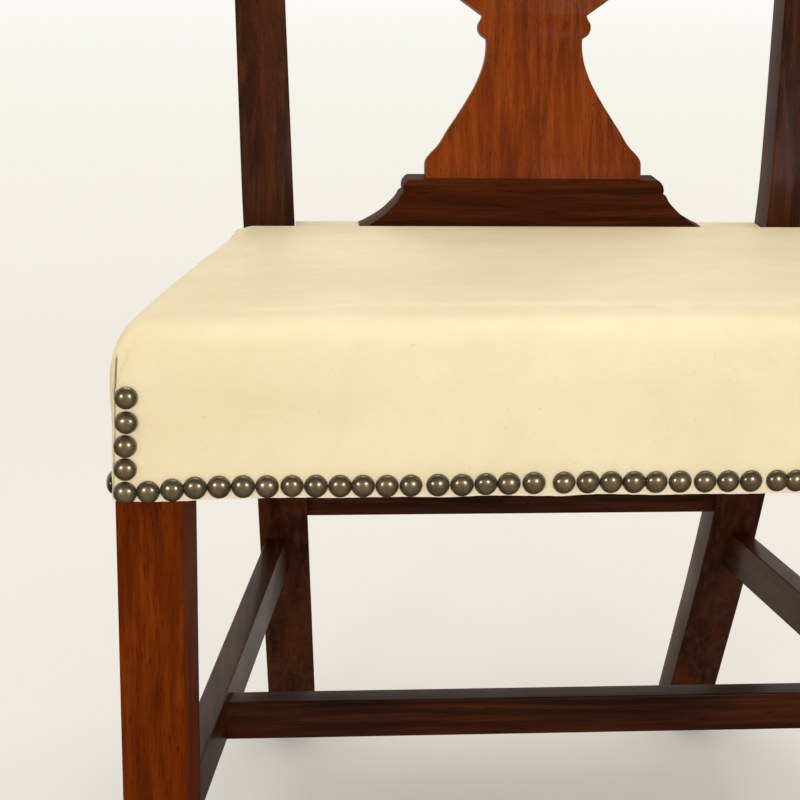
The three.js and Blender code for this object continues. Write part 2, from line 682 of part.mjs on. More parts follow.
// Runs a flat shape through the thickness of the board; `grow` thickens it both ways.
function onBoard(shape, grow = 0) {
  const back = SPLAT_BASE.clone().addScaledVector(SPLAT_FORWARD, -grow);
  const geometry = new THREE.ExtrudeGeometry(shape, {
    depth: SPLAT_THICKNESS + 2 * grow,
    bevelEnabled: false,
  });
  const place = new THREE.Matrix4().makeBasis(EAST, SPLAT_UP, SPLAT_FORWARD);
  return solid(geometry.applyMatrix4(place.setPosition(back)));
}

function splatTongues(grow) {
  const foot = SPLAT_TONGUE_WIDTH / 2 + grow;
  const crown = SPLAT_CROWN_TONGUE_WIDTH / 2 + grow;
  const lap = SPLAT_TONGUE_LENGTH;
  const crownTop = SPLAT_HEIGHT + SPLAT_CROWN_TONGUE_LENGTH + grow;
  return joined([
    onBoard(rectangle(-foot, -SPLAT_TONGUE_LENGTH - grow, foot, lap), grow),
    onBoard(rectangle(-crown, SPLAT_HEIGHT - lap, crown, crownTop), grow),
  ]);
}

const YOKE_BOTTOM = YOKE_BOTTOM_SHARE * SPLAT_HEIGHT;
const LYRE_FLOOR = OPENING_SHARES[0][0] * SPLAT_HEIGHT;

function lyreString(index, grow) {
  const x = (index - (STRING_COUNT - 1) / 2) * STRING_PITCH;
  const middle = SPLAT_BASE.clone().addScaledVector(SPLAT_FORWARD, SPLAT_THICKNESS / 2);
  const start = middle.clone().addScaledVector(SPLAT_UP, LYRE_FLOOR - STRING_SEAT - grow);
  const length = YOKE_BOTTOM - LYRE_FLOOR + 2 * STRING_SEAT + 2 * grow;
  const rod = new THREE.CylinderGeometry(STRING_RADIUS + grow, STRING_RADIUS + grow, length, STRING_SIDES);
  rod.translate(0, length / 2, 0);
  const place = new THREE.Matrix4().makeBasis(EAST, SPLAT_UP, SPLAT_FORWARD);
  start.x = x;
  return solid(rod.applyMatrix4(place.setPosition(start)));
}

function lyreSplat() {
  const shape = new THREE.Shape(symmetricShape(splatRightEdge()));
  const opening = OPENING_SHARES.map(([v, u]) => [u * LYRE_WIDTH / 2, v * SPLAT_HEIGHT]);
  shape.holes.push(new THREE.Path(symmetricShape(opening).reverse()));
  const holes = [];
  for (let i = 0; i < STRING_COUNT; i += 1) {
    holes.push(lyreString(i, FIT_GAP));
  }
  const board = cutBy(onBoard(shape), [
    slab(SHOE_TOP - 2 * SPLAT_THICKNESS, SHOE_TOP + FIT_GAP),
    slab(CREST_UNDERSIDE - FIT_GAP, CREST_UNDERSIDE + 2 * SPLAT_THICKNESS),
  ]);
  return cutBy(board.add(splatTongues(0)), holes);
}

// Shoe

const WEB_ZONE = 2 * WEB_THICKNESS + 3 * FIT_GAP;
const HESSIAN_BOTTOM = RAIL_TOP + WEB_ZONE;
const PAD_BOTTOM = HESSIAN_BOTTOM + HESSIAN + FIT_GAP;
const REAR_FLAT = PAD_BOTTOM + LEATHER;      // leather's top over the rear rail
const SHOE_BOTTOM = REAR_FLAT + FIT_GAP;

// Rows from the top down: share of the bead's height and of its projection.
const SHOE_BEAD_SHARES = [[0, 0.25], [0.12, 0.62], [0.35, 0.93], [0.6, 1], [0.85, 0.86], [0.86, 1.15]];
// Below the bead, a hollow: share of the remaining height, and of the flare.
const SHOE_HOLLOW_SHARES = [
  [0.02, 0.06], [0.2, 0.14], [0.38, 0.27], [0.55, 0.41], [0.7, 0.565], [0.83, 0.735], [0.93, 0.875], [1, 1],
];

function shoeRing(z, sideOut, frontOut) {
  const half = SHOE_TOP_WIDTH / 2 + sideOut;
  const front = SHOE_FRONT - frontOut;
  const back = SHOE_FRONT + SHOE_DEPTH;
  return [
    new THREE.Vector3(-half, front, z),
    new THREE.Vector3(half, front, z),
    new THREE.Vector3(half, back, z),
    new THREE.Vector3(-half, back, z),
  ];
}

function splatShoe() {
  const beadBottom = SHOE_TOP - SHOE_BEAD_HEIGHT;
  const rings = SHOE_BEAD_SHARES.map(([down, out]) => (
    shoeRing(SHOE_TOP - down * SHOE_BEAD_HEIGHT, out * SHOE_BEAD, out * SHOE_BEAD / 2)));
  SHOE_HOLLOW_SHARES.forEach(([down, out]) => {
    const z = mix(beadBottom, SHOE_BOTTOM, down);
    rings.push(shoeRing(z, SHOE_BEAD + out * SHOE_FLARE, SHOE_BEAD / 2 + out * SHOE_FRONT_FLARE));
  });
  return loft(rings).subtract(splatTongues(FIT_GAP));
}

// Upholstery

const SEAT_ROLL_END = SEAT_FRAME_DEPTH - SEAT_REAR_SETBACK;
const REAR_RAIL_BACK = SEAT_FRAME_DEPTH + REAR_RAIL_SETBACK + RAIL_THICKNESS;
const FLAT_OUT = FIT_GAP + LEATHER;         // leather's face past the frame, along the rails

// How far the stuffed part of the leather stands past the frame at a height. Low down it
// lies a little inside the flat skirt, and it comes out through it where the swell starts.
function leatherOut(z) {
  const share = clamp((z - SEAT_BULGE_START) / (SEAT_REAR_EDGE - SEAT_BULGE_START), 0, 1);
  return FLAT_OUT + SEAT_BULGE * mix(BULGE_DIP_SHARE, 1, share * share * (3 - 2 * share));
}

const RIM_OUT = leatherOut(SEAT_REAR_EDGE);

function sideRounding(y) {
  const along = clamp((y + RIM_OUT) / (SEAT_ROLL_END + RIM_OUT), 0, 1);
  return mix(SEAT_EDGE_ROUNDING, SEAT_SIDE_REAR_ROUNDING, along);
}

// How far a rounded edge has fallen at a share of its radius.
function quarterDrop(radius, run) {
  return radius * (1 - Math.sqrt(1 - run ** 2));
}

// Turns the square front corners of a line round the seat into rounded ones: the two
// distances to the corner's faces, as they are after the rounding.
function roundedCorner(toSide, toFront, round, power) {
  const a = (round - toSide) / round;
  const b = (round - toFront) / round;
  if (a <= 0 || b <= 0) return [toSide, toFront];
  const draw = Math.max(a, b) / (a ** power + b ** power) ** (1 / power);
  return [round * (1 - a * draw), round * (1 - b * draw)];
}

// Height of a layer of the seat that lies `depth` below the leather's face.
function seatTopZ(x, y, halfWidth, depth) {
  const along = clamp((y + RIM_OUT) / (SEAT_ROLL_END + RIM_OUT), 0, 1);
  const acrossShare = clamp(Math.abs(x) / (halfWidth + depth), 0, 1);
  const edge = mix(SEAT_FRONT_EDGE, SEAT_REAR_EDGE, along);
  const lengthwiseShare = Math.sin(Math.PI * along ** SEAT_CROWN_LEAD_POWER);
  const crown = SEAT_CROWN * (1 - acrossShare ** SEAT_CROWN_SIDE_POWER) * lengthwiseShare;
  const round = SEAT_EDGE_ROUNDING - depth;
  const sideRound = sideRounding(y) - depth;
  const rearRound = SEAT_REAR_ROUNDING - depth;
  const toSide = halfWidth - Math.abs(x);
  const toFront = y + RIM_OUT - depth;
  const sideRun = clamp((sideRound - toSide) / sideRound, 0, 1);
  const frontRun = clamp((round - toFront) / round, 0, 1);
  const rearRun = clamp((rearRound - (SEAT_ROLL_END - depth - y)) / rearRound, 0, 1);
  const edgeDrop = sideRun > frontRun ? quarterDrop(sideRound, sideRun) : quarterDrop(round, frontRun);
  const drop = edgeDrop + quarterDrop(rearRound, rearRun);
  const pull = SEAT_CORNER_PULL * Math.exp(-((Math.hypot(toSide, toFront) / SEAT_CORNER_REACH) ** 2));
  return Math.max(edge + crown - drop - pull - depth, REAR_FLAT - depth);
}

// Places across a rounded edge, from the wall inwards, as shares of its radius.
function rollShares() {
  const shares = [];
  for (let step = 0; step < SEAT_ROLL_STEPS; step += 1) {
    shares.push(1 - Math.cos(Math.PI / 2 * step / SEAT_ROLL_STEPS));
  }
  return shares;
}

// Lines across the seat: the rounded front edge, the field, the roll at the back, and for
// the leather the strip that lies flat on the rear rail.
function seatRows(depth, rollSteps, rear) {
  const round = SEAT_EDGE_ROUNDING - depth;
  const front = -(RIM_OUT - depth);
  const rows = rollShares().map((share) => front + share * round);
  const fieldEnd = SEAT_ROLL_END - SEAT_REAR_ROUNDING;
  for (let i = 0; i <= SEAT_COUNT_ALONG; i += 1) {
    rows.push(mix(front + round, fieldEnd, i / SEAT_COUNT_ALONG));
  }
  for (let step = 1; step <= rollSteps; step += 1) {
    const turn = Math.PI / 2 * step / SEAT_ROLL_STEPS;
    rows.push(fieldEnd + (SEAT_REAR_ROUNDING - depth) * Math.sin(turn));
  }
  if (rear !== undefined) rows.push(rear);
  return rows;
}

function seatColumns(halfWidth, round) {
  const right = rollShares().map((share) => halfWidth - share * round);
  const field = [];
  for (let i = 0; i <= SEAT_COUNT_ACROSS; i += 1) {
    field.push((2 * i / SEAT_COUNT_ACROSS - 1) * (halfWidth - round));
  }
  return [...right.map((x) => -x), ...field, ...right.reverse()];
}

// A closed block under the seat's surface, `depth` inside the leather's outer face.
function seatBlock({
  depth,
  bottom,
  rear,
  rollSteps = SEAT_ROLL_STEPS,
  wallShares = LEATHER_WALL_SHARES,
  tuck = 0,
}) {
  const rimOut = RIM_OUT - depth;
  const halfWidthAt = (y) => outerFaceX(y) + rimOut * SIDE_LENGTHENING;
  const lines = seatRows(depth, rollSteps, rear);
  const round = SEAT_EDGE_ROUNDING - depth;
  // A point of a line round the seat, its front corner rounded.
  const cornered = (x, y, out, power) => {
    const half = outerFaceX(y) + out * SIDE_LENGTHENING;
    const [toSide, toFront] = roundedCorner(half - Math.abs(x), y + out, round, power);
    const newY = toFront - out;
    const newHalf = outerFaceX(newY) + out * SIDE_LENGTHENING;
    return [Math.sign(x) * (newHalf - toSide), newY];
  };
  const squareTop = lines.map((y) => {
    const half = halfWidthAt(y);
    return seatColumns(half, sideRounding(y) - depth).map((x) => (
      new THREE.Vector3(x, y, seatTopZ(x, y, half, depth))));
  });
  const top = squareTop.map((line) => line.map(({ x, y, z }) => (
    new THREE.Vector3(...cornered(x, y, rimOut, CORNER_TOP_POWER), z))));
  const columns = top[0].length - 1;
  const rows = top.length - 1;
  const rim = [];
  for (let i = 0; i < columns; i += 1) rim.push([0, i]);
  for (let j = 0; j < rows; j += 1) rim.push([j, columns]);
  for (let i = columns; i > 0; i -= 1) rim.push([rows, i]);
  for (let j = rows; j > 0; j -= 1) rim.push([j, 0]);

  const points = top.flat();
  const faces = [];
  const at = (j, i) => j * (columns + 1) + i;
  for (let j = 0; j < rows; j += 1) {
    for (let i = 0; i < columns; i += 1) {
      faces.push(at(j, i), at(j, i + 1), at(j + 1, i + 1), at(j, i), at(j + 1, i + 1), at(j + 1, i));
    }
  }
  // The walls go down in rings and follow the swell of the stuffing.
  let upper = rim.map(([j, i]) => at(j, i));
  wallShares.forEach((share) => {
    const ring = rim.map(([j, i]) => {
      const rimPoint = squareTop[j][i];
      const z = mix(rimPoint.z, bottom, share);
      const out = leatherOut(z) - depth - tuck * share;
      const deepShare = (rimPoint.y - lines[0]) / (lines[rows] - lines[0]);
      const wideShare = rimPoint.x / halfWidthAt(rimPoint.y);
      const y = mix(-out, lines[rows] - tuck * share, deepShare);
      const x = wideShare * (outerFaceX(y) + out * SIDE_LENGTHENING);
      const power = mix(CORNER_TOP_POWER, CORNER_SKIRT_POWER, share);
      points.push(new THREE.Vector3(...cornered(x, y, out, power), z));
      return points.length - 1;
    });
    ring.forEach((point, k) => {
      const next = (k + 1) % ring.length;
      faces.push(upper[k], point, ring[next], upper[k], ring[next], upper[next]);
    });
    upper = ring;
  });
  points.push(new THREE.Vector3(0, mix(lines[0], lines[rows], 0.5), bottom));
  upper.forEach((point, k) => faces.push(point, points.length - 1, upper[(k + 1) % upper.length]));
  const geometry = new THREE.BufferGeometry().setFromPoints(points);
  geometry.setIndex(faces);
  return solid(geometry);
}

// The flat band of leather on the rails, filled in, up to where the swell covers it.
function skirtBlock({ depth, bottom, rear }) {
  const out = FLAT_OUT - depth;
  const half = (y) => outerFaceX(y) + out * SIDE_LENGTHENING;
  const round = SEAT_EDGE_ROUNDING - depth;
  const steps = rollShares();
  const corner = [
    ...[...steps].reverse().map((share) => roundedCorner(share * round, 0, round, CORNER_SKIRT_POWER)),
    ...steps.slice(1).map((share) => roundedCorner(0, share * round, round, CORNER_SKIRT_POWER)),
  ].map(([toSide, toFront]) => {
    const y = toFront - out;
    return new THREE.Vector2(half(y) - toSide, y);
  });
  const outline = new THREE.Shape([
    ...[...corner].reverse().map(({ x, y }) => new THREE.Vector2(-x, y)),
    ...corner,
    new THREE.Vector2(half(rear), rear),
    new THREE.Vector2(-half(rear), rear),
  ]);
  const top = mix(SEAT_BULGE_START, SEAT_REAR_EDGE, SKIRT_LAP_SHARE);
  return prism(outline, new THREE.Vector3(0, 0, bottom), new THREE.Vector3(0, 0, top), EAST);
}

// All that lies outside and behind the front and inner faces of a rear post, with a margin.
function postColumn(margin, bottom = LEATHER_BOTTOM - OVERRUN) {
  const rings = [];
  for (let step = 0; step <= POST_COLUMN_STEPS; step += 1) {
    const z = mix(bottom, SHOE_TOP + OVERRUN, step / POST_COLUMN_STEPS);
    const inner = postOuterX(z) - postWidth(z) - margin;
    const outer = SEAT_FRAME_WIDTH / 2;
    const front = postFrontY(z) - margin;
    const back = SEAT_FRAME_DEPTH + 2 * POST_DEPTH_SEAT;
    rings.push([
      new THREE.Vector3(inner, front, z),
      new THREE.Vector3(outer, front, z),
      new THREE.Vector3(outer, back, z),
      new THREE.Vector3(inner, back, z),
    ]);
  }
  return loft(rings);
}

function bothSides(body) {
  return [body, mirrored(body)];
}

function leatherCover() {
  const rear = REAR_RAIL_BACK + FIT_GAP + LEATHER;
  const whole = { depth: 0, bottom: LEATHER_BOTTOM, rear };
  const hollow = { depth: LEATHER, bottom: LEATHER_BOTTOM - OVERRUN, rear: rear - LEATHER };
  const outer = skirtBlock(whole).add(seatBlock({ ...whole, bottom: LEATHER_BOTTOM + OVERRUN }));
  const inner = skirtBlock(hollow).add(seatBlock({ ...hollow, bottom: LEATHER_BOTTOM + OVERRUN }));
  // Round the posts the leather is tucked down only as far as the rails.
  const tuck = postColumn(FIT_GAP + LEATHER, RAIL_TOP + FIT_GAP);
  const filling = cutBy(inner, bothSides(tuck));
  return cutBy(outer, [...bothSides(postColumn(FIT_GAP, LEATHER_BOTTOM - 2 * OVERRUN)), filling]);
}

function seatPad() {
  return seatBlock({
    depth: LEATHER + PAD_GAP,
    bottom: PAD_BOTTOM,
    rollSteps: PAD_ROLL_STEPS,
    wallShares: PAD_WALL_SHARES,
    tuck: PAD_TUCK,
  });
}

// Webs woven over and under each other, lying on the rails.
// `crossings` are the places along a web where another one lies under or over it.
function webProfile(length, crossings, overFirst) {
  const lowZ = FIT_GAP;
  const highZ = lowZ + WEB_THICKNESS + FIT_GAP;
  const line = [];
  const reach = WEB_WIDTH / 2 + FIT_GAP;
  crossings.forEach((place, i) => {
    const over = (i % 2 === 0) === overFirst;
    if (over) {
      line.push([place - reach - WEB_RAMP, lowZ], [place - reach, highZ]);
      line.push([place + reach, highZ], [place + reach + WEB_RAMP, lowZ]);
    }
  });
  const centre = [[0, lowZ], ...line, [length, lowZ]];
  const lower = centre.map(([s, z]) => new THREE.Vector2(s, z));
  const upper = centre.map(([s, z]) => new THREE.Vector2(s, z + WEB_THICKNESS)).reverse();
  return new THREE.Shape([...lower, ...upper]);
}

function evenPlaces(start, end, count) {
  const places = [];
  for (let i = 0; i < count; i += 1) {
    places.push(mix(start, end, (i + 0.5) / count));
  }
  return places;
}

const WEB_FIELD_FRONT = RAIL_THICKNESS;
const WEB_FIELD_BACK = SEAT_FRAME_DEPTH;
const acrossPlaces = evenPlaces(WEB_FIELD_FRONT, WEB_FIELD_BACK, WEB_COUNT_ACROSS);
const alongReach = outerFaceX(SEAT_FRAME_DEPTH) - RAIL_THICKNESS;
const alongPlaces = evenPlaces(-alongReach, alongReach, WEB_COUNT_ALONG);

// A web's side profile, run across its width. `heading` is where the web runs to.
function layWeb(profile, start, heading) {
  const sideways = UP.clone().cross(heading);
  const geometry = new THREE.ExtrudeGeometry(profile, { depth: WEB_WIDTH, bevelEnabled: false });
  const place = new THREE.Matrix4().makeBasis(heading, UP, heading.clone().cross(UP));
  const corner = start.clone().addScaledVector(sideways, WEB_WIDTH / 2);
  return solid(geometry.applyMatrix4(place.setPosition(corner)));
}

function websAcross() {
  return acrossPlaces.map((y, j) => {
    const reach = outerFaceX(y + WEB_WIDTH / 2) - WEB_MARGIN;
    const crossings = alongPlaces.map((x) => x + reach);
    const start = new THREE.Vector3(-reach, y, RAIL_TOP);
    return layWeb(webProfile(2 * reach, crossings, j % 2 === 0), start, EAST);
  });
}

function websAlong() {
  return alongPlaces.map((x, i) => {
    const start = new THREE.Vector3(x, WEB_MARGIN, RAIL_TOP);
    const length = REAR_RAIL_BACK - 2 * WEB_MARGIN;
    const crossings = acrossPlaces.map((y) => y - WEB_MARGIN);
    return layWeb(webProfile(length, crossings, i % 2 === 1), start, BACK);
  });
}

// A sheet cut to the frame's outline, drawn in by a margin, and clear of the posts.
function frameSheet(bottom, thickness, margin, postMargin) {
  const front = margin;
  const back = REAR_RAIL_BACK - margin;
  const half = (y) => outerFaceX(y) - margin * SIDE_LENGTHENING;
  const outline = new THREE.Shape([
    new THREE.Vector2(-half(front), front),
    new THREE.Vector2(half(front), front),
    new THREE.Vector2(half(back), back),
    new THREE.Vector2(-half(back), back),
  ]);
  const low = new THREE.Vector3(0, 0, bottom);
  const high = new THREE.Vector3(0, 0, bottom + thickness);
  const sheet = prism(outline, low, high, EAST);
  return cutBy(sheet, bothSides(postColumn(postMargin)));
}

// Nails

// A domed head at a place on the leather, its axis along `outward`. Its rim is pressed a
// little into the leather, so that the heads are one body with the cover that they hold.
const NAIL_DOME_SHARES = [[0.8, 0.6], [0, 1]];

function nailHead(place, outward) {
  const profile = [new THREE.Vector2(0, -NAIL_SINK), new THREE.Vector2(NAIL_RADIUS, -NAIL_SINK)];
  NAIL_DOME_SHARES.forEach(([radiusShare, heightShare]) => {
    profile.push(new THREE.Vector2(NAIL_RADIUS * radiusShare, NAIL_HEIGHT * heightShare));
  });
  const head = new THREE.LatheGeometry(profile, NAIL_SIDES);
  const turn = new THREE.Quaternion().setFromUnitVectors(BACK, outward);
  head.applyQuaternion(turn);
  head.translate(place.x, place.y, place.z);
  return solid(head);
}

const NAIL_ROW_HEIGHT = LEATHER_BOTTOM + NAIL_EDGE;
const RIGHT = new THREE.Vector3(1, SIDE_TAPER, 0).normalize();

function rowPlaces(length, count) {
  const places = [];
  for (let i = 0; i < count; i += 1) {
    places.push(length * (i / (count - 1) - 0.5));
  }
  return places;
}

function frontNails() {
  const span = SEAT_FRAME_WIDTH + 2 * FLAT_OUT - 2 * NAIL_CORNER_INSET;
  const count = Math.floor(span / NAIL_PITCH) + 1;
  const heads = rowPlaces(span, count).map((x) => (
    nailHead(new THREE.Vector3(x, -FLAT_OUT, NAIL_ROW_HEIGHT), FRONT)));
  for (let i = 1; i <= NAIL_COLUMN_COUNT; i += 1) {
    const z = NAIL_ROW_HEIGHT + i * NAIL_PITCH;
    const leanY = Math.max(FLAT_OUT, leatherOut(z));
    heads.push(nailHead(new THREE.Vector3(-span / 2, -leanY, z), FRONT));
    heads.push(nailHead(new THREE.Vector3(span / 2, -leanY, z), FRONT));
  }
  return heads;
}

// Nails along the right side, from the front corner to the post.
function sideNails() {
  const out = FLAT_OUT;
  const start = NAIL_CORNER_INSET;
  const end = SEAT_FRAME_DEPTH - NAIL_CORNER_INSET;
  const count = Math.floor((end - start) * SIDE_LENGTHENING / NAIL_PITCH) + 1;
  return rowPlaces(end - start, count).map((place) => {
    const y = (start + end) / 2 + place;
    const x = outerFaceX(y) + out * SIDE_LENGTHENING;
    return nailHead(new THREE.Vector3(x, y, NAIL_ROW_HEIGHT), RIGHT);
  });
}

// Nails along the back of the rear rail, between the posts.
function rearNails() {
  const inner = postOuterX(NAIL_ROW_HEIGHT) - postWidth(NAIL_ROW_HEIGHT);
  const span = 2 * (inner - FIT_GAP - NAIL_CORNER_INSET);
  const count = Math.floor(span / NAIL_PITCH) + 1;
  const y = REAR_RAIL_BACK + FIT_GAP + LEATHER;
  return rowPlaces(span, count).map((x) => (
    nailHead(new THREE.Vector3(x, y, NAIL_ROW_HEIGHT), BACK)));
}

// Corner blocks
// Each block is a three-cornered piece against two rails, notched round the leg or post.

const BLOCK_TOP = RAIL_TOP - BLOCK_DROP;
const BLOCK_BOTTOM = BLOCK_TOP - BLOCK_HEIGHT;

function sideRailInnerX(y) {
  return outerFaceX(y) - (RAIL_THICKNESS + FIT_GAP) * SIDE_LENGTHENING;
}

function frontBlockCorners() {
  const y = RAIL_THICKNESS + FIT_GAP;
  const corner = new THREE.Vector2(sideRailInnerX(y), y);
  const onFront = new THREE.Vector2(corner.x - BLOCK_REACH - FRONT_LEG_WIDTH / 2, y);
  const alongY = y + BLOCK_REACH + FRONT_LEG_DEPTH / 2;
  return [corner, new THREE.Vector2(sideRailInnerX(alongY), alongY), onFront];
}

function rearBlockCorners() {
  const y = SEAT_FRAME_DEPTH + REAR_RAIL_SETBACK - FIT_GAP;
  const corner = new THREE.Vector2(sideRailInnerX(y), y);
  const alongY = y - BLOCK_REACH;
  const onRear = new THREE.Vector2(corner.x - BLOCK_REACH - POST_WIDTH_SEAT / 2, y);
  return [corner, onRear, new THREE.Vector2(sideRailInnerX(alongY), alongY)];
}

function blockSolid(corners, grownPost) {
  const low = new THREE.Vector3(0, 0, BLOCK_BOTTOM);
  const high = new THREE.Vector3(0, 0, BLOCK_TOP);
  const blank = prism(new THREE.Shape(corners), low, high, EAST);
  return blank.subtract(grownPost);
}

// A countersunk screw, its head flush with the block's long face.
function screw(place, heading, grow) {
  const headBottom = SCREW_HEAD_HEIGHT;
  const profile = [
    new THREE.Vector2(0, -grow),
    new THREE.Vector2(SCREW_HEAD_RADIUS + grow, -grow),
    new THREE.Vector2(SCREW_SHANK_RADIUS + grow, headBottom),
    new THREE.Vector2(SCREW_SHANK_RADIUS + grow, SCREW_LENGTH - headBottom),
    new THREE.Vector2(0, SCREW_LENGTH + grow),
  ];
  const body = new THREE.LatheGeometry(profile, SCREW_SIDES);
  body.applyQuaternion(new THREE.Quaternion().setFromUnitVectors(BACK, heading));
  body.translate(place.x, place.y, place.z);
  return solid(body);
}

// Two screws go from the long face of a block, square to it, towards the two rails.
function blockScrews(corners, headings, grow) {
  const [, ends0, ends1] = corners;
  return SCREW_PLACE_SHARES.map((share, i) => {
    const point = ends0.clone().lerp(ends1, share);
    const z = mix(BLOCK_BOTTOM, BLOCK_TOP, SCREW_HEIGHT_SHARE);
    const heading = headings[i];
    const sunk = new THREE.Vector3(point.x, point.y, z).addScaledVector(heading, SCREW_HEAD_HEIGHT);
    return screw(sunk, heading, grow);
  });
}

// Glides

function glide(place, grow) {
  const pin = GLIDE_PIN_RADIUS + grow;
  const pinTop = GLIDE_HEIGHT + GLIDE_PIN_LENGTH + grow;
  const profile = grow > 0 ? [
    new THREE.Vector2(0, 0),
    new THREE.Vector2(pin, 0),
    new THREE.Vector2(pin, pinTop),
    new THREE.Vector2(0, pinTop),
  ] : [
    new THREE.Vector2(0, 0),
    new THREE.Vector2(GLIDE_RADIUS - GLIDE_EDGE, 0),
    new THREE.Vector2(GLIDE_RADIUS, GLIDE_EDGE),
    new THREE.Vector2(GLIDE_RADIUS, GLIDE_HEIGHT),
    new THREE.Vector2(pin, GLIDE_HEIGHT),
    new THREE.Vector2(pin, pinTop),
    new THREE.Vector2(0, pinTop),
  ];
  const body = new THREE.LatheGeometry(profile, 2 * SCREW_SIDES);
  body.rotateX(Math.PI / 2);
  body.translate(place.x, place.y, 0);
  return solid(body);
}

const frontFoot = new THREE.Vector2(
  outerFaceX(FRONT_LEG_DEPTH / 2) - FRONT_LEG_WIDTH / 2,
  FRONT_LEG_DEPTH / 2,
);
const rearFoot = new THREE.Vector2(
  postOuterX(FOOT_BOTTOM) - postWidth(FOOT_BOTTOM) / 2,
  postFrontY(FOOT_BOTTOM) + postDepth(FOOT_BOTTOM) / 2,
);

// Putting the chair together

const front = frontRail();
const side = sideRail();
const rear = rearRail();
const sideBar = sideStretcher();
const rearBar = rearStretcher();
const sideBarGrown = sideStretcherGrown();
const middleBar = medialStretcher(sideBarGrown, mirrored(sideBarGrown));

const frontCorners = frontBlockCorners();
const rearCorners = rearBlockCorners();
const frontHeadings = [RIGHT, FRONT];
const rearHeadings = [BACK, RIGHT];
const frontScrewHoles = blockScrews(frontCorners, frontHeadings, FIT_GAP);
const rearScrewHoles = blockScrews(rearCorners, rearHeadings, FIT_GAP);
const screwHoles = [...frontScrewHoles, ...rearScrewHoles];
const bothScrewHoles = screwHoles.flatMap(bothSides);

const rightLeg = cutBy(rightLegBlank, [
  legCornerWaste(),
  front.socket, side.socket, sideBar.socket, glide(frontFoot, FIT_GAP), ...screwHoles,
]);
addPart('front_leg_right', mahogany, rightLeg);
addPart('front_leg_left', mahogany, mirrored(rightLeg));

const rightPost = cutBy(rightPostBlank, [
  side.socket, rear.socket, sideBar.socket, rearBar.socket, glide(rearFoot, FIT_GAP), ...screwHoles,
]);
addPart('rear_post_right', mahogany, rightPost);
addPart('rear_post_left', mahogany, mirrored(rightPost));

addPart('front_rail', beech, cutBy(front.body, bothScrewHoles));
const rightRail = cutBy(side.body, screwHoles);
addPart('side_rail_right', beech, rightRail);
addPart('side_rail_left', beech, mirrored(rightRail));
addPart('rear_rail', beech, cutBy(rear.body, bothScrewHoles));

const rightBar = sideBar.body.subtract(middleBar.socket);
addPart('side_stretcher_right', mahogany, rightBar);
addPart('side_stretcher_left', mahogany, mirrored(rightBar));
addPart('medial_stretcher', mahogany, middleBar.body);
addPart('rear_stretcher', mahogany, rearBar.body);

const crestCutters = [splatTongues(FIT_GAP), ...bothSides(postTenon(FIT_GAP))];
addPart('crest_rail', mahogany, cutBy(crestRail(), crestCutters));
addPart('splat_shoe', mahogany, splatShoe());
addPart('lyre_splat', figured, lyreSplat());
for (let i = 0; i < STRING_COUNT; i += 1) {
  addPart(`lyre_string_${i + 1}`, brass, lyreString(i, 0));
}

const frontBlock = cutBy(blockSolid(frontCorners, rightLegGrown), frontScrewHoles);
const rearBlock = cutBy(blockSolid(rearCorners, rightPostGrown), rearScrewHoles);
addPart('corner_block_front_right', beech, frontBlock);
addPart('corner_block_front_left', beech, mirrored(frontBlock));
addPart('corner_block_rear_right', beech, rearBlock);
addPart('corner_block_rear_left', beech, mirrored(rearBlock));
const blockPlaces = [['front', frontCorners, frontHeadings], ['rear', rearCorners, rearHeadings]];
blockPlaces.forEach(([end, corners, headings]) => {
  blockScrews(corners, headings, 0).forEach((body, i) => {
    addPart(`block_screw_${end}_right_${i + 1}`, steel, body);
    addPart(`block_screw_${end}_left_${i + 1}`, steel, mirrored(body));
  });
});

websAcross().forEach((web, i) => addPart(`seat_web_across_${i + 1}`, webbing, web));
websAlong().forEach((web, i) => addPart(`seat_web_along_${i + 1}`, webbing, web));
const cloth = frameSheet(HESSIAN_BOTTOM, HESSIAN, HESSIAN_MARGIN, HESSIAN_POST_GAP);
addPart('hessian_layer', hessian, cloth);
addPart('seat_pad', foam, seatPad());
const rightNails = sideNails();
const nails = [...frontNails(), ...rightNails.flatMap(bothSides), ...rearNails()];
addPart('leather_cover', leather, joined([leatherCover(), ...nails]));
addPart('dust_cover', blackCloth, cutBy(
  frameSheet(RAIL_BOTTOM - FIT_GAP - DUST_CLOTH, DUST_CLOTH, DUST_CLOTH_MARGIN, FIT_GAP),
  bothSides(rightLegGrown),
));

const frontGlide = glide(frontFoot, 0);
const rearGlide = glide(rearFoot, 0);
addPart('glide_front_right', steel, frontGlide);
addPart('glide_front_left', steel, mirrored(frontGlide));
addPart('glide_rear_right', steel, rearGlide);
addPart('glide_rear_left', steel, mirrored(rearGlide));

// The part's origin is the middle of the floor under the chair.
const extent = new THREE.Box3().setFromObject(chair);
chair.position.y = -(extent.min.y + extent.max.y) / 2;

export default chair;
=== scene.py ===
import math

import bmesh
import bpy
from mathutils import Euler, Matrix, Vector, noise
from mathutils.bvhtree import BVHTree


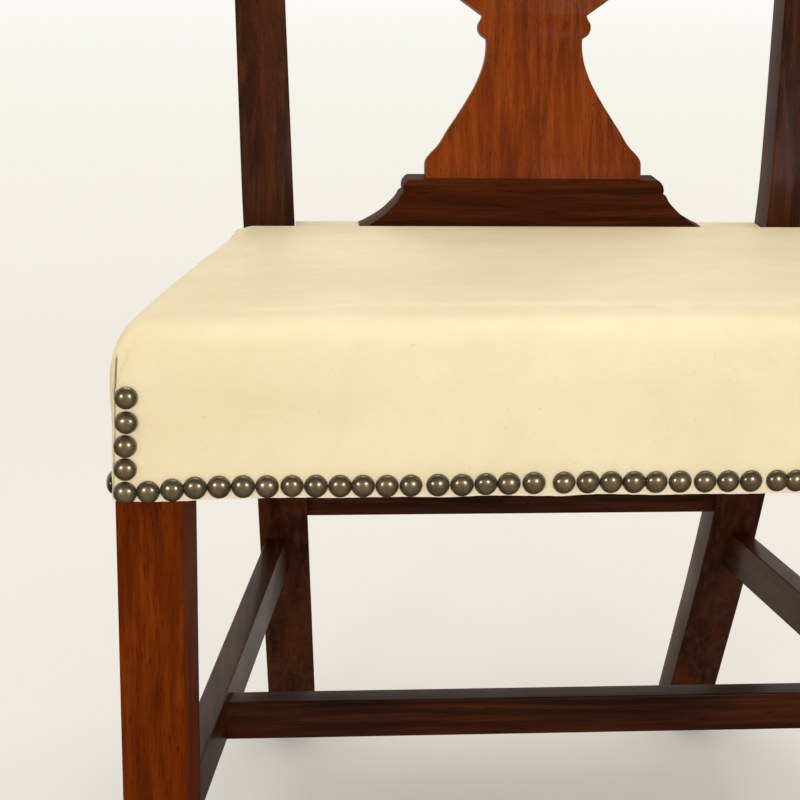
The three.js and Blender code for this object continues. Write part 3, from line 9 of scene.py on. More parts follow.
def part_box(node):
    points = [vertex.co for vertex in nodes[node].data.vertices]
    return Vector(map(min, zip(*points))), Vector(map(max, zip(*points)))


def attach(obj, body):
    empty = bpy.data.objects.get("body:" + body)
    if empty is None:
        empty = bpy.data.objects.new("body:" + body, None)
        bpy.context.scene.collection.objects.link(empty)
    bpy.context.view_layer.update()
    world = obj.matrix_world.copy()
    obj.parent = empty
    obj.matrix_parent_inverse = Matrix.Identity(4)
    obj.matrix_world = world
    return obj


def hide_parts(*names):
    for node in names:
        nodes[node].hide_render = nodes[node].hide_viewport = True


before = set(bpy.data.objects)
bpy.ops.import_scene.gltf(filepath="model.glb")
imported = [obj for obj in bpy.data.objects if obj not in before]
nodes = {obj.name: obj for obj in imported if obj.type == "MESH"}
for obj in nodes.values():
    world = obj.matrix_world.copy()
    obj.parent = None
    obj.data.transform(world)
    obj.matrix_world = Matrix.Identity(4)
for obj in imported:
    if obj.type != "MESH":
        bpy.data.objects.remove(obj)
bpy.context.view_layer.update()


# ---------------------------------------------------------------------------
# Measures
# All shapes below are written in millimetres, with y = 0 on the front of the seat frame's
# wood and z = 0 on the floor. place() turns them into the part's frame, in metres.

MM = 0.001
FRAME_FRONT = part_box("front_leg_right")[0].y

SEAT_FRAME_WIDTH = 531.0
SEAT_FRAME_DEPTH = 421.0
RAIL_BOTTOM = 392.0
RAIL_TOP = 440.0
RAIL_THICKNESS = 22.0
REAR_RAIL_SETBACK = 8.0
FOOT_BOTTOM = 4.3
BACK_WIDTH = 412.6
BEND_HEIGHT = 470.0
CREST_SEAT_HEIGHT = 902.0
SIDE_TAPER = (SEAT_FRAME_WIDTH - BACK_WIDTH) / 2 / SEAT_FRAME_DEPTH
SIDE_LENGTHENING = math.hypot(1, SIDE_TAPER)


def place(point):
    x, y, z = point
    return Vector((x * MM, y * MM + FRAME_FRONT, z * MM))


def measured(co):
    """The reverse of place(), for a point of a mesh."""
    return co.x / MM, (co.y - FRAME_FRONT) / MM, co.z / MM


def mix(a, b, share):
    return a + (b - a) * share


def clamp(value, low=0.0, high=1.0):
    return min(high, max(low, value))


def eased(share):
    return share * share * (3 - 2 * share)


def outer_face_x(y):
    return SEAT_FRAME_WIDTH / 2 - SIDE_TAPER * y


def new_object(name, data):
    piece = bpy.data.objects.new(name, data)
    bpy.context.scene.collection.objects.link(piece)
    return piece


# ---------------------------------------------------------------------------
# Camera, at the photograph's viewing angle. The place, the direction and the lens come from
# the photograph's perspective, solved from its edges.

CAMERA_PLACE = (-0.196, FRAME_FRONT - 0.8626, 0.6821)
CAMERA_YAW = 0.08043
CAMERA_PITCH = 0.2735
CAMERA_ROLL = 0.01717
CAMERA_LENS = 83.205
SENSOR = 36.0

level_right = Vector((math.cos(CAMERA_YAW), -math.sin(CAMERA_YAW), 0))
level_ahead = Vector((math.sin(CAMERA_YAW), math.cos(CAMERA_YAW), 0))
ahead = level_ahead * math.cos(CAMERA_PITCH) - Vector((0, 0, math.sin(CAMERA_PITCH)))
above = Vector((0, 0, math.cos(CAMERA_PITCH))) + level_ahead * math.sin(CAMERA_PITCH)
camera_right = level_right * math.cos(CAMERA_ROLL) + above * math.sin(CAMERA_ROLL)
camera_up = above * math.cos(CAMERA_ROLL) - level_right * math.sin(CAMERA_ROLL)

camera_data = bpy.data.cameras.new("camera")
camera_data.lens = CAMERA_LENS
camera_data.sensor_width = SENSOR
camera = new_object("camera", camera_data)
camera.matrix_world = (Matrix.Translation(CAMERA_PLACE)
                       @ Matrix((camera_right, camera_up, -ahead)).transposed().to_4x4())
bpy.context.scene.camera = camera


# ---------------------------------------------------------------------------
# Mahogany
# Lacquered, with fine dark pores and ribbons of lighter wood along the grain.

class Look:
    """The nodes of a material, of the surroundings or of a node group."""

    def __init__(self, owner):
        self.owner = owner
        tree = getattr(owner, "node_tree", owner)
        self.nodes, self.links = tree.nodes, tree.links

    def feed(self, socket, value):
        if isinstance(value, bpy.types.NodeSocket):
            self.links.new(value, socket)
        else:
            socket.default_value = value

    def add(self, kind, inputs=None, **settings):
        node = self.nodes.new(kind)
        for name, value in settings.items():
            setattr(node, name, value)
        for name, value in (inputs or {}).items():
            self.feed(node.inputs[name], value)
        return node

    def dress(self, inputs):
        """Sets the Principled shader, and gives back the finished material."""
        shader = self.nodes["Principled BSDF"]
        for name, value in inputs.items():
            self.feed(shader.inputs[name], value)
        return self.owner

    def space(self):
        return self.add("ShaderNodeTexCoord").outputs["Object"]

    def attribute(self, name):
        return self.add("ShaderNodeAttribute", attribute_name=name).outputs["Fac"]

    def turned(self, vector, rotation, offset=(0, 0, 0)):
        return self.add("ShaderNodeMapping", {
            "Vector": vector, "Rotation": rotation, "Location": offset}).outputs["Vector"]

    def stretched(self, vector, scale):
        return self.add("ShaderNodeMapping", {"Vector": vector, "Scale": scale}).outputs["Vector"]

    def vector(self, operation, inputs, output="Vector"):
        return self.add("ShaderNodeVectorMath", inputs, operation=operation).outputs[output]

    def noise(self, vector, scale, detail=3.0, roughness=0.5, output="Fac"):
        return self.add("ShaderNodeTexNoise", {
            "Vector": vector, "Scale": scale, "Detail": detail, "Roughness": roughness,
        }).outputs[output]

    def cells(self, vector, scale, feature, **more):
        return self.add("ShaderNodeTexVoronoi", {"Vector": vector, "Scale": scale, **more},
                        feature=feature).outputs["Distance"]

    def between(self, value, low, high, to_low=0.0, to_high=1.0):
        """Maps value from low..high to to_low..to_high, and holds it there."""
        return self.add("ShaderNodeMapRange", {
            "Value": value, "From Min": low, "From Max": high,
            "To Min": to_low, "To Max": to_high,
        }).outputs["Result"]

    def maths(self, operation, first, second=0.0):
        return self.add("ShaderNodeMath", {0: first, 1: second}, operation=operation).outputs[0]

    def times(self, first, second):
        return self.maths("MULTIPLY", first, second)

    def blend(self, share, first, second):
        """A colour between two, each of them a socket or three numbers."""
        node = self.add("ShaderNodeMix", data_type="RGBA")
        sockets = {socket.identifier: socket for socket in [*node.inputs, *node.outputs]}
        self.feed(sockets["Factor_Float"], share)
        for name, colour in (("A_Color", first), ("B_Color", second)):
            linked = isinstance(colour, bpy.types.NodeSocket)
            self.feed(sockets[name], colour if linked else (*colour, 1.0))
        return sockets["Result_Color"]

    def tinted(self, base, pattern, low, high, share, tone):
        """A colour with a share of another tone where a pattern goes from low to high."""
        return self.blend(self.between(pattern, low, high, 0.0, share), base, tone)

    def bump(self, height, strength, distance, under=None):
        inputs = {"Height": height, "Strength": strength, "Distance": distance}
        if under is not None:
            inputs["Normal"] = under
        return self.add("ShaderNodeBump", inputs).outputs["Normal"]

    def mixed(self, share, first, second):
        return self.add("ShaderNodeMixShader", {0: share, 1: first, 2: second}).outputs["Shader"]


def new_look(name):
    material = bpy.data.materials.new(name)
    material.use_nodes = True
    return Look(material)


def darker(colour, share):
    return [part * share for part in colour]


def along_grain(look, grain, offset):
    """Object coordinates turned so that their Z runs along the grain."""
    turn = Vector(grain).rotation_difference(Vector((0, 0, 1))).to_euler()
    return look.turned(look.space(), turn, offset)


def mahogany(name, grain, seed, colours, gloss=0.16, coat=0.3, shine=0.1, short=1.0):
    """Mahogany with its grain along a direction, in three colours from dark to light.

    short is above 1 where the board shows short flecks, and 1 where its grain runs straight.
    """
    dark, middle, light = colours
    look = new_look("mahogany_" + name)
    wood = along_grain(look, grain, (seed * 0.37, seed * 0.53, seed * 0.71))
    sway = look.noise(look.stretched(wood, (1, 1, 0.35)), 9.0, 2.0)
    swayed = look.vector("ADD", {0: wood, 1: look.add("ShaderNodeCombineXYZ", {
        "X": look.times(sway, 0.012), "Y": look.times(sway, 0.009),
    }).outputs["Vector"]})

    def along(share, *settings):
        return look.noise(look.stretched(swayed, (1, 1, share * short)), *settings)

    broad = along(0.09, 55.0, 2.0, 0.55)
    ribbon = along(0.035, 230.0, 3.0, 0.6)
    fibre = along(0.03, 900.0, 2.0, 0.6)
    pore = look.between(along(0.045, 1500.0, 1.0, 0.4), 0.62, 0.72)
    base = look.tinted(dark, broad, 0.34, 0.66, 1.0, middle)
    base = look.tinted(base, ribbon, 0.45, 0.72, 0.75, light)
    base = look.tinted(base, fibre, 0.3, 0.7, 0.35, darker(dark, 0.55))
    base = look.blend(look.times(pore, 0.6), base, darker(dark, 0.3))
    # Thin pale scratches in the lacquer, few and at a slant.
    slanted = look.turned(wood, (0.4, 1.1, 0.7))
    scratch = look.cells(look.stretched(slanted, (1, 0.04, 1)), 120.0, "F1")
    base = look.tinted(base, scratch, 0.035, 0.0, 0.5, [min(1, c * 2.6 + 0.03) for c in light])
    dull = look.noise(wood, 14.0, 4.0, 0.6)
    hollow = look.maths("ADD", look.times(pore, -0.8), look.times(fibre, 0.25))
    soft = look.bump(look.noise(wood, 45.0, 2.0), 0.12, 0.0012)
    return look.dress({
        "Base Color": base, "Roughness": look.between(dull, 0.3, 0.7, gloss + 0.16, gloss + 0.3),
        "Normal": look.bump(hollow, 0.3, 0.00025, soft), "Coat Weight": coat,
        "Coat Roughness": gloss, "Coat IOR": 1.5, "Specular IOR Level": shine,
    })


WOOD = ((0.023, 0.0055, 0.0015), (0.07, 0.015, 0.003), (0.105, 0.026, 0.005))
LEG_WOOD = ((0.085, 0.0115, 0.0006), (0.145, 0.0215, 0.0009), (0.2, 0.036, 0.002))

ALONG_X = (1, 0, 0)
ALONG_Y = (0, 1, 0)
ALONG_Z = (0, 0, 1)

leg_wood = mahogany("leg", ALONG_Z, 1, LEG_WOOD, gloss=0.34, coat=0.0, shine=0.018, short=2.2)
post_wood = mahogany("post", ALONG_Z, 2, WOOD, coat=0.06)
side_wood = mahogany("side_bar", ALONG_Y, 3, WOOD, coat=0.2)
cross_wood = mahogany("cross_bar", ALONG_X, 4, WOOD, coat=0.15)


# Shapes in wood are skins over rings of points, with softened arrises.

def rounded(corners, radii, steps=4):
    """A flat outline with each corner cut to an arc. radii is one number or one for each."""
    if not hasattr(radii, "__len__"):
        radii = [radii] * len(corners)
    points = []
    for i, (x, y) in enumerate(corners):
        here = Vector((x, y))
        before = (Vector(corners[i - 1]) - here).normalized()
        after = (Vector(corners[(i + 1) % len(corners)]) - here).normalized()
        half = math.acos(clamp(before.dot(after), -1, 1)) / 2
        back = radii[i] / math.tan(half)
        centre = here + (before + after).normalized() * (radii[i] / math.sin(half))
        first = here + before * back - centre
        last = here + after * back - centre
        for step in range(steps + 1):
            spoke = first.slerp(last, step / steps) if radii[i] > 0 else Vector((0, 0))
            points.append(centre + spoke)
    return points


def square_ring(low_x, high_x, low_y, high_y, z, arris):
    corners = [(low_x, low_y), (high_x, low_y), (high_x, high_y), (low_x, high_y)]
    return [(x, y, z) for x, y in rounded(corners, arris)]


def finish_mesh(mesh, sharp_degrees=35.0):
    shape = bmesh.new()
    shape.from_mesh(mesh)
    bmesh.ops.remove_doubles(shape, verts=shape.verts, dist=1e-6)
    bmesh.ops.recalc_face_normals(shape, faces=shape.faces)
    shape.to_mesh(mesh)
    shape.free()
    mesh.shade_smooth()
    mesh.set_sharp_from_angle(angle=math.radians(sharp_degrees))


def mesh_object(name, points, faces, materials, sharp_degrees=35.0):
    mesh = bpy.data.meshes.new(name)
    mesh.from_pydata([place(p) for p in points], [], faces)
    for material in materials:
        mesh.materials.append(material)
    finish_mesh(mesh, sharp_degrees)
    return new_object(name, mesh)


def skin(name, rings, material, sharp_degrees=35.0):
    """Rings of points with the same count, joined up and closed at both ends."""
    count = len(rings[0])
    faces = [(j + i, j + (i + 1) % count, j + count + (i + 1) % count, j + count + i)
             for j in range(0, (len(rings) - 1) * count, count) for i in range(count)]
    faces.append(tuple(reversed(range(count))))
    faces.append(tuple(range((len(rings) - 1) * count, len(rings) * count)))
    points = [p for ring in rings for p in ring]
    return mesh_object(name, points, faces, [material], sharp_degrees)


def flip_over(mesh):
    """Turns a right-hand mesh into its left-hand mirror image."""
    mesh.transform(Matrix.Scale(-1, 4, Vector((1, 0, 0))))
    mesh.flip_normals()


def stand_for(piece, node):
    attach(piece, "root")
    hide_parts(node)


def both_sides(right, name):
    left = new_object(right.name.replace("right", "left"), right.data.copy())
    flip_over(left.data)
    stand_for(right, name + "_right")
    stand_for(left, name + "_left")


def end_eased(low, high, steps, ease):
    """Heights from low to high, and how far each ring draws in for a softened end."""
    rows = [(low, ease), (low + ease * 0.3, ease * 0.3), (low + ease, 0.0)]
    rows += [(mix(low + ease, high - ease, i / steps), 0.0) for i in range(1, steps)]
    return rows + [(high - ease, 0.0), (high - ease * 0.3, ease * 0.3), (high, ease)]


# ---------------------------------------------------------------------------
# Front legs: straight square mahogany, their inner back arris taken off, tenoned to the rails.

FRONT_LEG_WIDTH = 33.0
FRONT_LEG_DEPTH = 45.0
FRONT_LEG_CHAMFER = 3.0
FRONT_LEG_ARRIS = 1.3
COVERED_ARRIS = 4.5
COVERED_FROM = 390.0


def front_leg_ring(z, inset):
    front, back = inset, FRONT_LEG_DEPTH - inset
    cut = back - FRONT_LEG_CHAMFER

    def inner(y):
        return outer_face_x(y) - FRONT_LEG_WIDTH + inset

    corners = [
        (inner(front), front), (outer_face_x(front) - inset, front),
        (outer_face_x(back) - inset, back), (inner(back) + FRONT_LEG_CHAMFER, back),
        (inner(cut), cut),
    ]
    radii = [FRONT_LEG_ARRIS] * len(corners)
    if z > COVERED_FROM:
        radii[1] = COVERED_ARRIS
    return [(x, y, z) for x, y in rounded(corners, radii)]


front_leg_rows = end_eased(FOOT_BOTTOM, RAIL_TOP, 12, 1.0)
front_leg_rows += [(COVERED_FROM, 0.0), (COVERED_FROM + 0.5, 0.0)]
front_leg = skin("front_leg_right_wood",
                 [front_leg_ring(z, inset) for z, inset in sorted(front_leg_rows)], leg_wood)
both_sides(front_leg, "front_leg")


# ---------------------------------------------------------------------------
# Rear posts: leg and back upright sawn from one piece, bent both ways.

BEND_EASING = 22.0
STILE_RAKE = 0.13
LEG_RAKE = 0.078
STILE_BEND_RADIUS = 8300.0
LEG_BEND_RADIUS = 1015.0
LEG_STRAIGHT_HEIGHT = 110.0
STILE_SPREAD = 0.0315
LEG_DRAW_IN = 0.042
POST_WIDTHS = (40.0, 37.4, 33.5)
POST_DEPTHS = (35.0, 34.0, 24.0)
POST_ARRIS = 1.8


def post_front_y(z):
    rise = z - BEND_HEIGHT
    turned_out = ((STILE_RAKE - LEG_RAKE) / 2 * rise
                  + (STILE_RAKE + LEG_RAKE) / 2 * (math.hypot(rise, BEND_EASING) - BEND_EASING))
    if rise > 0:
        return SEAT_FRAME_DEPTH + turned_out + rise * rise / (2 * STILE_BEND_RADIUS)
    bent = min(-rise, BEND_HEIGHT - LEG_STRAIGHT_HEIGHT)
    straight = -rise - bent
    return (SEAT_FRAME_DEPTH + turned_out + bent * bent / (2 * LEG_BEND_RADIUS)
            + straight * bent / LEG_BEND_RADIUS)


def post_outer_x(z):
    rise = z - BEND_HEIGHT
    return BACK_WIDTH / 2 + rise * (STILE_SPREAD if rise > 0 else LEG_DRAW_IN)


def between_heights(z, sizes):
    foot, seat, top = sizes
    if z > BEND_HEIGHT:
        return mix(seat, top, (z - BEND_HEIGHT) / (CREST_SEAT_HEIGHT - BEND_HEIGHT))
    return mix(foot, seat, z / BEND_HEIGHT)


def post_width(z):
    return between_heights(z, POST_WIDTHS)


def post_depth(z):
    return between_heights(z, POST_DEPTHS)


def post_ring(z, inset):
    front, outer = post_front_y(z), post_outer_x(z)
    return square_ring(outer - post_width(z) + inset, outer - inset,
                       front + inset, front + post_depth(z) - inset, z, POST_ARRIS)


rear_post = skin("rear_post_right_wood", [
    post_ring(z, inset) for z, inset in end_eased(FOOT_BOTTOM, CREST_SEAT_HEIGHT, 96, 1.0)
], post_wood)
both_sides(rear_post, "rear_post")


# ---------------------------------------------------------------------------
# Stretchers: mahogany bars tenoned into legs and posts, one top arris rounded over.

STRETCHER_THICKNESS = 16.0
STRETCHER_HEIGHT = 31.0
STRETCHER_ROUNDING = 1.5
STRETCHER_ARRIS = 1.0
SIDE_STRETCHER_TOP = 195.0
SIDE_STRETCHER_INSET = 5.3
REAR_STRETCHER_BOTTOM = 214.0
MEDIAL_SETBACK = 205.0
MEDIAL_DROP = 3.0
BAR_SUNK = 6.0


def bar(name, start, end, height, rounding, material):
    """A bar whose ends run a little way into what it is tenoned to."""
    start, end = Vector(start), Vector(end)
    along = (end - start).normalized()
    across = along.cross(Vector((0, 0, 1)))
    up = across.cross(along)
    wide, high = STRETCHER_THICKNESS / 2, height / 2
    arrises = [STRETCHER_ARRIS, STRETCHER_ARRIS, rounding, STRETCHER_ARRIS]
    section = rounded([(-wide, -high), (wide, -high), (wide, high), (-wide, high)], arrises, 6)
    start -= along * BAR_SUNK
    end += along * BAR_SUNK
    rings = [[start.lerp(end, i / 8) + across * s + up * t for s, t in section] for i in range(9)]
    return skin(name, rings, material)


def cross_bar(node, reach, y, z, height, rounding):
    piece = bar(node + "_wood", (-reach, y, z), (reach, y, z), height, rounding, cross_wood)
    stand_for(piece, node)


side_bar_z = SIDE_STRETCHER_TOP - STRETCHER_HEIGHT / 2
side_bar_inset = SIDE_STRETCHER_INSET + STRETCHER_THICKNESS / 2
side_bar_front = (outer_face_x(FRONT_LEG_DEPTH) - side_bar_inset, FRONT_LEG_DEPTH, side_bar_z)
side_bar_back = (post_outer_x(side_bar_z) - side_bar_inset, post_front_y(side_bar_z), side_bar_z)
side_stretcher = bar("side_stretcher_right_wood", side_bar_front, side_bar_back,
                     STRETCHER_HEIGHT, STRETCHER_ROUNDING, side_wood)
both_sides(side_stretcher, "side_stretcher")

rear_bar_z = REAR_STRETCHER_BOTTOM + STRETCHER_HEIGHT / 2
rear_bar_y = post_front_y(rear_bar_z) + post_depth(rear_bar_z) / 2
rear_bar_reach = post_outer_x(rear_bar_z) - post_width(rear_bar_z)
cross_bar("rear_stretcher", rear_bar_reach, rear_bar_y, rear_bar_z,
          STRETCHER_HEIGHT, STRETCHER_ROUNDING)

medial_share = (MEDIAL_SETBACK - side_bar_front[1]) / (side_bar_back[1] - side_bar_front[1])
medial_reach = mix(side_bar_front[0], side_bar_back[0], medial_share) - STRETCHER_THICKNESS / 2
cross_bar("medial_stretcher", medial_reach, MEDIAL_SETBACK, side_bar_z - MEDIAL_DROP,
          STRETCHER_HEIGHT - 2 * MEDIAL_DROP, STRETCHER_ARRIS)


# ---------------------------------------------------------------------------
# Crest rail: a bowed, shaped mahogany rail, mortised for the posts and the splat.

CREST_HALF_WIDTH = 234.0
CREST_HEIGHT = 63.0
CREST_TOP_THICKNESS = 15.0
CREST_SWELL = 3.0
CREST_BOW = 12.0
CREST_END_ROUNDING = 2.0
CREST_GAP = 0.3
CREST_UPPER = [
    (0, 1), (0.12, 0.985), (0.26, 0.92), (0.42, 0.79), (0.58, 0.67), (0.72, 0.62), (0.84, 0.66),
    (0.93, 0.73), (0.975, 0.72), (1, 0.6),
]
CREST_LOWER = [
    (0, 0.03), (0.24, 0.03), (0.32, 0.07), (0.45, 0.16), (0.6, 0.2), (0.72, 0.12), (0.8, 0.01),
    (0.84, 0), (0.945, 0), (0.965, 0.1), (0.985, 0.3), (1, 0.46),
]
CREST_SECTION = [
    (0.02, 0, 0), (0.3, 0, 0.7), (0.65, 0, 1), (0.88, 0.02, 0.8), (0.97, 0.18, 0), (1, 0.5, 0),
    (0.97, 0.84, 0), (0.86, 1, 0), (0.4, 1, 0), (0.02, 1, 0), (0, 0.94, 0), (0, 0.06, 0),
]


def table_rows(table, share):
    """The rows of a table before and after a place, and how far between them it is."""
    row = 1
    while row < len(table) - 1 and table[row][0] < share:
        row += 1
    before, after = table[row - 1], table[row]
    return row, before, after, clamp((share - before[0]) / (after[0] - before[0]))


def swept(table, share):
    """One flowing curve through a table's rows, which stays between them."""
    slopes = [(high - low) / (end - start)
              for (start, low), (end, high) in zip(table, table[1:])]
    turns = [0.0]
    for before, after in zip(slopes, slopes[1:]):
        turns.append(2 * before * after / (before + after) if before * after > 0 else 0.0)
    turns.append(slopes[-1])
    row, (start, low), (end, high), t = table_rows(table, share)
    lean = (turns[row - 1] * (1 - t) - turns[row] * t) * t * (1 - t) * (end - start)
    return mix(low, high, eased(t)) + lean


def crest_bow(x):
    share = clamp(abs(x) / (post_outer_x(CREST_SEAT_HEIGHT) - POST_WIDTHS[2] / 2))
    return CREST_BOW * math.cos(share * math.pi / 2) ** 2


def smooth_path(points, steps, closed=False):
    """A Catmull-Rom line through points of any dimension."""
    count = len(points)
    result = []
    for i in range(count if closed else count - 1):
        if closed:
            a, b, c, d = (points[(i + k - 1) % count] for k in range(4))
        else:
            a, b = points[max(i - 1, 0)], points[i]
            c, d = points[i + 1], points[min(i + 2, count - 1)]
        for step in range(steps):
            t = step / steps
            result.append(tuple(
                0.5 * (2 * q + (r - p) * t + (2 * p - 5 * q + 4 * r - s) * t * t
                       + (3 * q - p - 3 * r + s) * t ** 3)
                for p, q, r, s in zip(a, b, c, d)))
    if not closed:
        result.append(tuple(points[-1]))
    return result


crest_section = smooth_path(CREST_SECTION, 3, closed=True)


def crest_ring(x, inset=0.0):
    share = abs(x) / CREST_HALF_WIDTH
    base = CREST_SEAT_HEIGHT + CREST_GAP
    bottom = base + CREST_HEIGHT * swept(CREST_LOWER, share) + inset
    top = base + CREST_HEIGHT * swept(CREST_UPPER, share) - inset
    ring = []
    for height, depth, swell in crest_section:
        z = mix(bottom, top, clamp(height))
        thickness = mix(POST_DEPTHS[2], CREST_TOP_THICKNESS, (z - CREST_SEAT_HEIGHT) / CREST_HEIGHT)
        y = post_front_y(z) + crest_bow(x) + inset + depth * (thickness - 2 * inset)
        ring.append((x, y - swell * CREST_SWELL, z))
    return ring


def crest_places():
    reach = CREST_HALF_WIDTH - CREST_END_ROUNDING
    for i in range(241):
        even = 2 * i / 240 - 1
        yield reach * mix(even, math.sin(even * math.pi / 2), 0.8)


crest_rings = [crest_ring(x) for x in crest_places()]
for step in range(1, 6):
    turn = step / 5 * math.pi / 2
    out = CREST_HALF_WIDTH - CREST_END_ROUNDING * (1 - math.sin(turn))
    inset = CREST_END_ROUNDING * (1 - math.cos(turn))
    crest_rings = [crest_ring(-out, inset), *crest_rings, crest_ring(out, inset)]
crest_rail = skin("crest_rail_wood", crest_rings, mahogany("crest", ALONG_X, 5, WOOD), 50.0)
stand_for(crest_rail, "crest_rail")


# ---------------------------------------------------------------------------
# Shoe: a moulded mahogany block glued on the rear rail, which holds the splat's foot.

SHOE_TOP = 481.0
SHOE_TOP_WIDTH = 176.0
SHOE_DEPTH = 25.0
SHOE_FRONT = SEAT_FRAME_DEPTH + 2.0
SHOE_BEAD = 4.4
SHOE_FLARE = 30.1
SHOE_FRONT_FLARE = 4.5
SHOE_BEAD_HEIGHT = 10.5
SHOE_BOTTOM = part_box("splat_shoe")[0].z / MM
SHOE_BEAD_ROWS = [(0, 0.05), (0.1, 0.4), (0.3, 0.78), (0.55, 0.98), (0.75, 1), (0.9, 0.9)]
SHOE_HOLLOW_ROWS = [
    (0.0, 0.03), (0.02, 0.06), (0.2, 0.14), (0.38, 0.27), (0.55, 0.41), (0.7, 0.565),
    (0.83, 0.735), (0.93, 0.875), (1, 1),
]
SHOE_ARRIS = 0.8
SHOE_WOOD = ((0.035, 0.0085, 0.0025), (0.07, 0.0165, 0.0042), (0.12, 0.028, 0.0065))


def shoe_ring(z, side_out, front_out):
    half = SHOE_TOP_WIDTH / 2 + side_out
    return square_ring(-half, half, SHOE_FRONT - front_out, SHOE_FRONT + SHOE_DEPTH,
                       z, SHOE_ARRIS)


shoe_rings = [shoe_ring(SHOE_TOP, 0, 0)]
for down, out in smooth_path(SHOE_BEAD_ROWS, 4):
    shoe_rings.append(shoe_ring(SHOE_TOP - down * SHOE_BEAD_HEIGHT,
                                out * SHOE_BEAD, out * SHOE_BEAD / 2))
for down, out in smooth_path(SHOE_HOLLOW_ROWS, 4):
    shoe_rings.append(shoe_ring(
        mix(SHOE_TOP - SHOE_BEAD_HEIGHT, SHOE_BOTTOM, down),
        SHOE_BEAD + out * SHOE_FLARE, SHOE_BEAD / 2 + out * SHOE_FRONT_FLARE))
shoe_wood = mahogany("shoe", ALONG_X, 6, SHOE_WOOD, coat=0.0, shine=0.012)
splat_shoe = skin("splat_shoe_wood", shoe_rings, shoe_wood, 32.0)
stand_for(splat_shoe, "splat_shoe")


# ---------------------------------------------------------------------------
# Splat: one flat board of brighter, figured mahogany, sawn and pierced to a lyre.

SPLAT_THICKNESS = 12.0
SPLAT_FOOT_WIDTH = 153.5
SPLAT_SETBACK = 4.0
SPLAT_NECK_WIDTH = 112.0
LYRE_WIDTH = 160.0
LYRE_SCROLL_RADIUS = 13.0
SPLAT_EASED = 1.1
SPLAT_FOOT = [
    (0.0, 1), (0.02, 1), (0.028, 0.985), (0.036, 0.95), (0.044, 0.905), (0.052, 0.868),
    (0.062, 0.833), (0.075, 0.79), (0.095, 0.715), (0.12, 0.625), (0.15, 0.53), (0.18, 0.465),
    (0.205, 0.44), (0.222, 0.44),
]
SPLAT_COLLAR = [(0.228, 0.49), (0.236, 0.515), (0.246, 0.515), (0.254, 0.49)]
LYRE_ARM = [
    (0.26, 0.46), (0.272, 0.55), (0.29, 0.68), (0.315, 0.81), (0.35, 0.925), (0.395, 0.99),
    (0.44, 1), (0.49, 0.96), (0.545, 0.87), (0.605, 0.755), (0.665, 0.66), (0.725, 0.61),
    (0.78, 0.605), (0.825, 0.64),
]
LYRE_OPENING = [
    (0.298, 0), (0.3, 0.2), (0.31, 0.36), (0.33, 0.52), (0.36, 0.645), (0.4, 0.725),
    (0.44, 0.738), (0.49, 0.7), (0.545, 0.61), (0.605, 0.495), (0.665, 0.4), (0.725, 0.352),
    (0.78, 0.35), (0.83, 0.385), (0.858, 0.42), (0.868, 0.39),
]
SCROLL_CENTRE = (0.905, 0.8)
SCROLL_TURNS = (-0.31, 0.86)
NECK_START = 0.955
SPLAT_LIFT = 0.15
FIGURED_WOOD = ((0.14, 0.023, 0.002), (0.24, 0.041, 0.003), (0.34, 0.07, 0.005))

crest_underside = CREST_SEAT_HEIGHT + CREST_GAP + CREST_HEIGHT * CREST_LOWER[0][1]
splat_base = Vector((0, SHOE_FRONT + SPLAT_SETBACK + SPLAT_THICKNESS, SHOE_TOP + CREST_GAP))
splat_head = Vector((
    0, post_front_y(crest_underside) + crest_bow(0) + POST_DEPTHS[2] / 2 + SPLAT_THICKNESS / 2,
    crest_underside - CREST_GAP))
splat_up = (splat_head - splat_base).normalized()
splat_height = (splat_head - splat_base).length
splat_forward = Vector((1, 0, 0)).cross(splat_up)


def on_board(u, v, w):
    """A point of the board: u across, v up its height, w forward of its back face."""
    return splat_base + Vector((u, 0, 0)) + splat_up * v + splat_forward * w


def outline(table, half_width):
    """Points of an outline from a table of shares of the board's height and half width."""
    return [(u * half_width, v * splat_height) for v, u in smooth_path(table, 5)]


def splat_right_edge():
    half_foot, half_lyre = SPLAT_FOOT_WIDTH / 2, LYRE_WIDTH / 2
    edge = (outline(SPLAT_FOOT, half_foot) + outline(SPLAT_COLLAR, half_foot)
            + outline(LYRE_ARM, half_lyre))
    for i in range(33):
        turn = mix(*SCROLL_TURNS, i / 32) * math.pi
        edge.append((SCROLL_CENTRE[1] * half_lyre + LYRE_SCROLL_RADIUS * math.cos(turn),
                     SCROLL_CENTRE[0] * splat_height + LYRE_SCROLL_RADIUS * math.sin(turn)))
    return edge + [(SPLAT_NECK_WIDTH / 2, NECK_START * splat_height),
                   (SPLAT_NECK_WIDTH / 2, splat_height)]


def made_mesh(piece):
    """The mesh that an object's modifiers or curves make."""
    graph = bpy.context.evaluated_depsgraph_get()
    return bpy.data.meshes.new_from_object(piece.evaluated_get(graph))


def flat_board(outlines, thickness, eased_edge):
    """A board with eased edges, from closed outlines; the second and later ones are holes."""
    data = bpy.data.curves.new("lyre_splat_wood", "CURVE")
    data.dimensions = "2D"
    data.fill_mode = "BOTH"
    data.extrude = thickness / 2 - eased_edge
    data.bevel_depth = eased_edge
    data.bevel_resolution = 3
    data.offset = -eased_edge
    for points in outlines:
        spline = data.splines.new("POLY")
        spline.points.add(len(points) - 1)
        for point, (u, v) in zip(spline.points, points):
            point.co = (u, v, 0, 1)
        spline.use_cyclic_u = True
    piece = new_object("lyre_splat_curve", data)
    mesh = made_mesh(piece)
    bpy.data.objects.remove(piece)
    bpy.data.curves.remove(data)
    return mesh


def whole_outline(right_edge):
    whole = right_edge + [(-u, v) for u, v in reversed(right_edge)]
    return [p for i, p in enumerate(whole) if math.dist(p, whole[i - 1]) > 0.05]


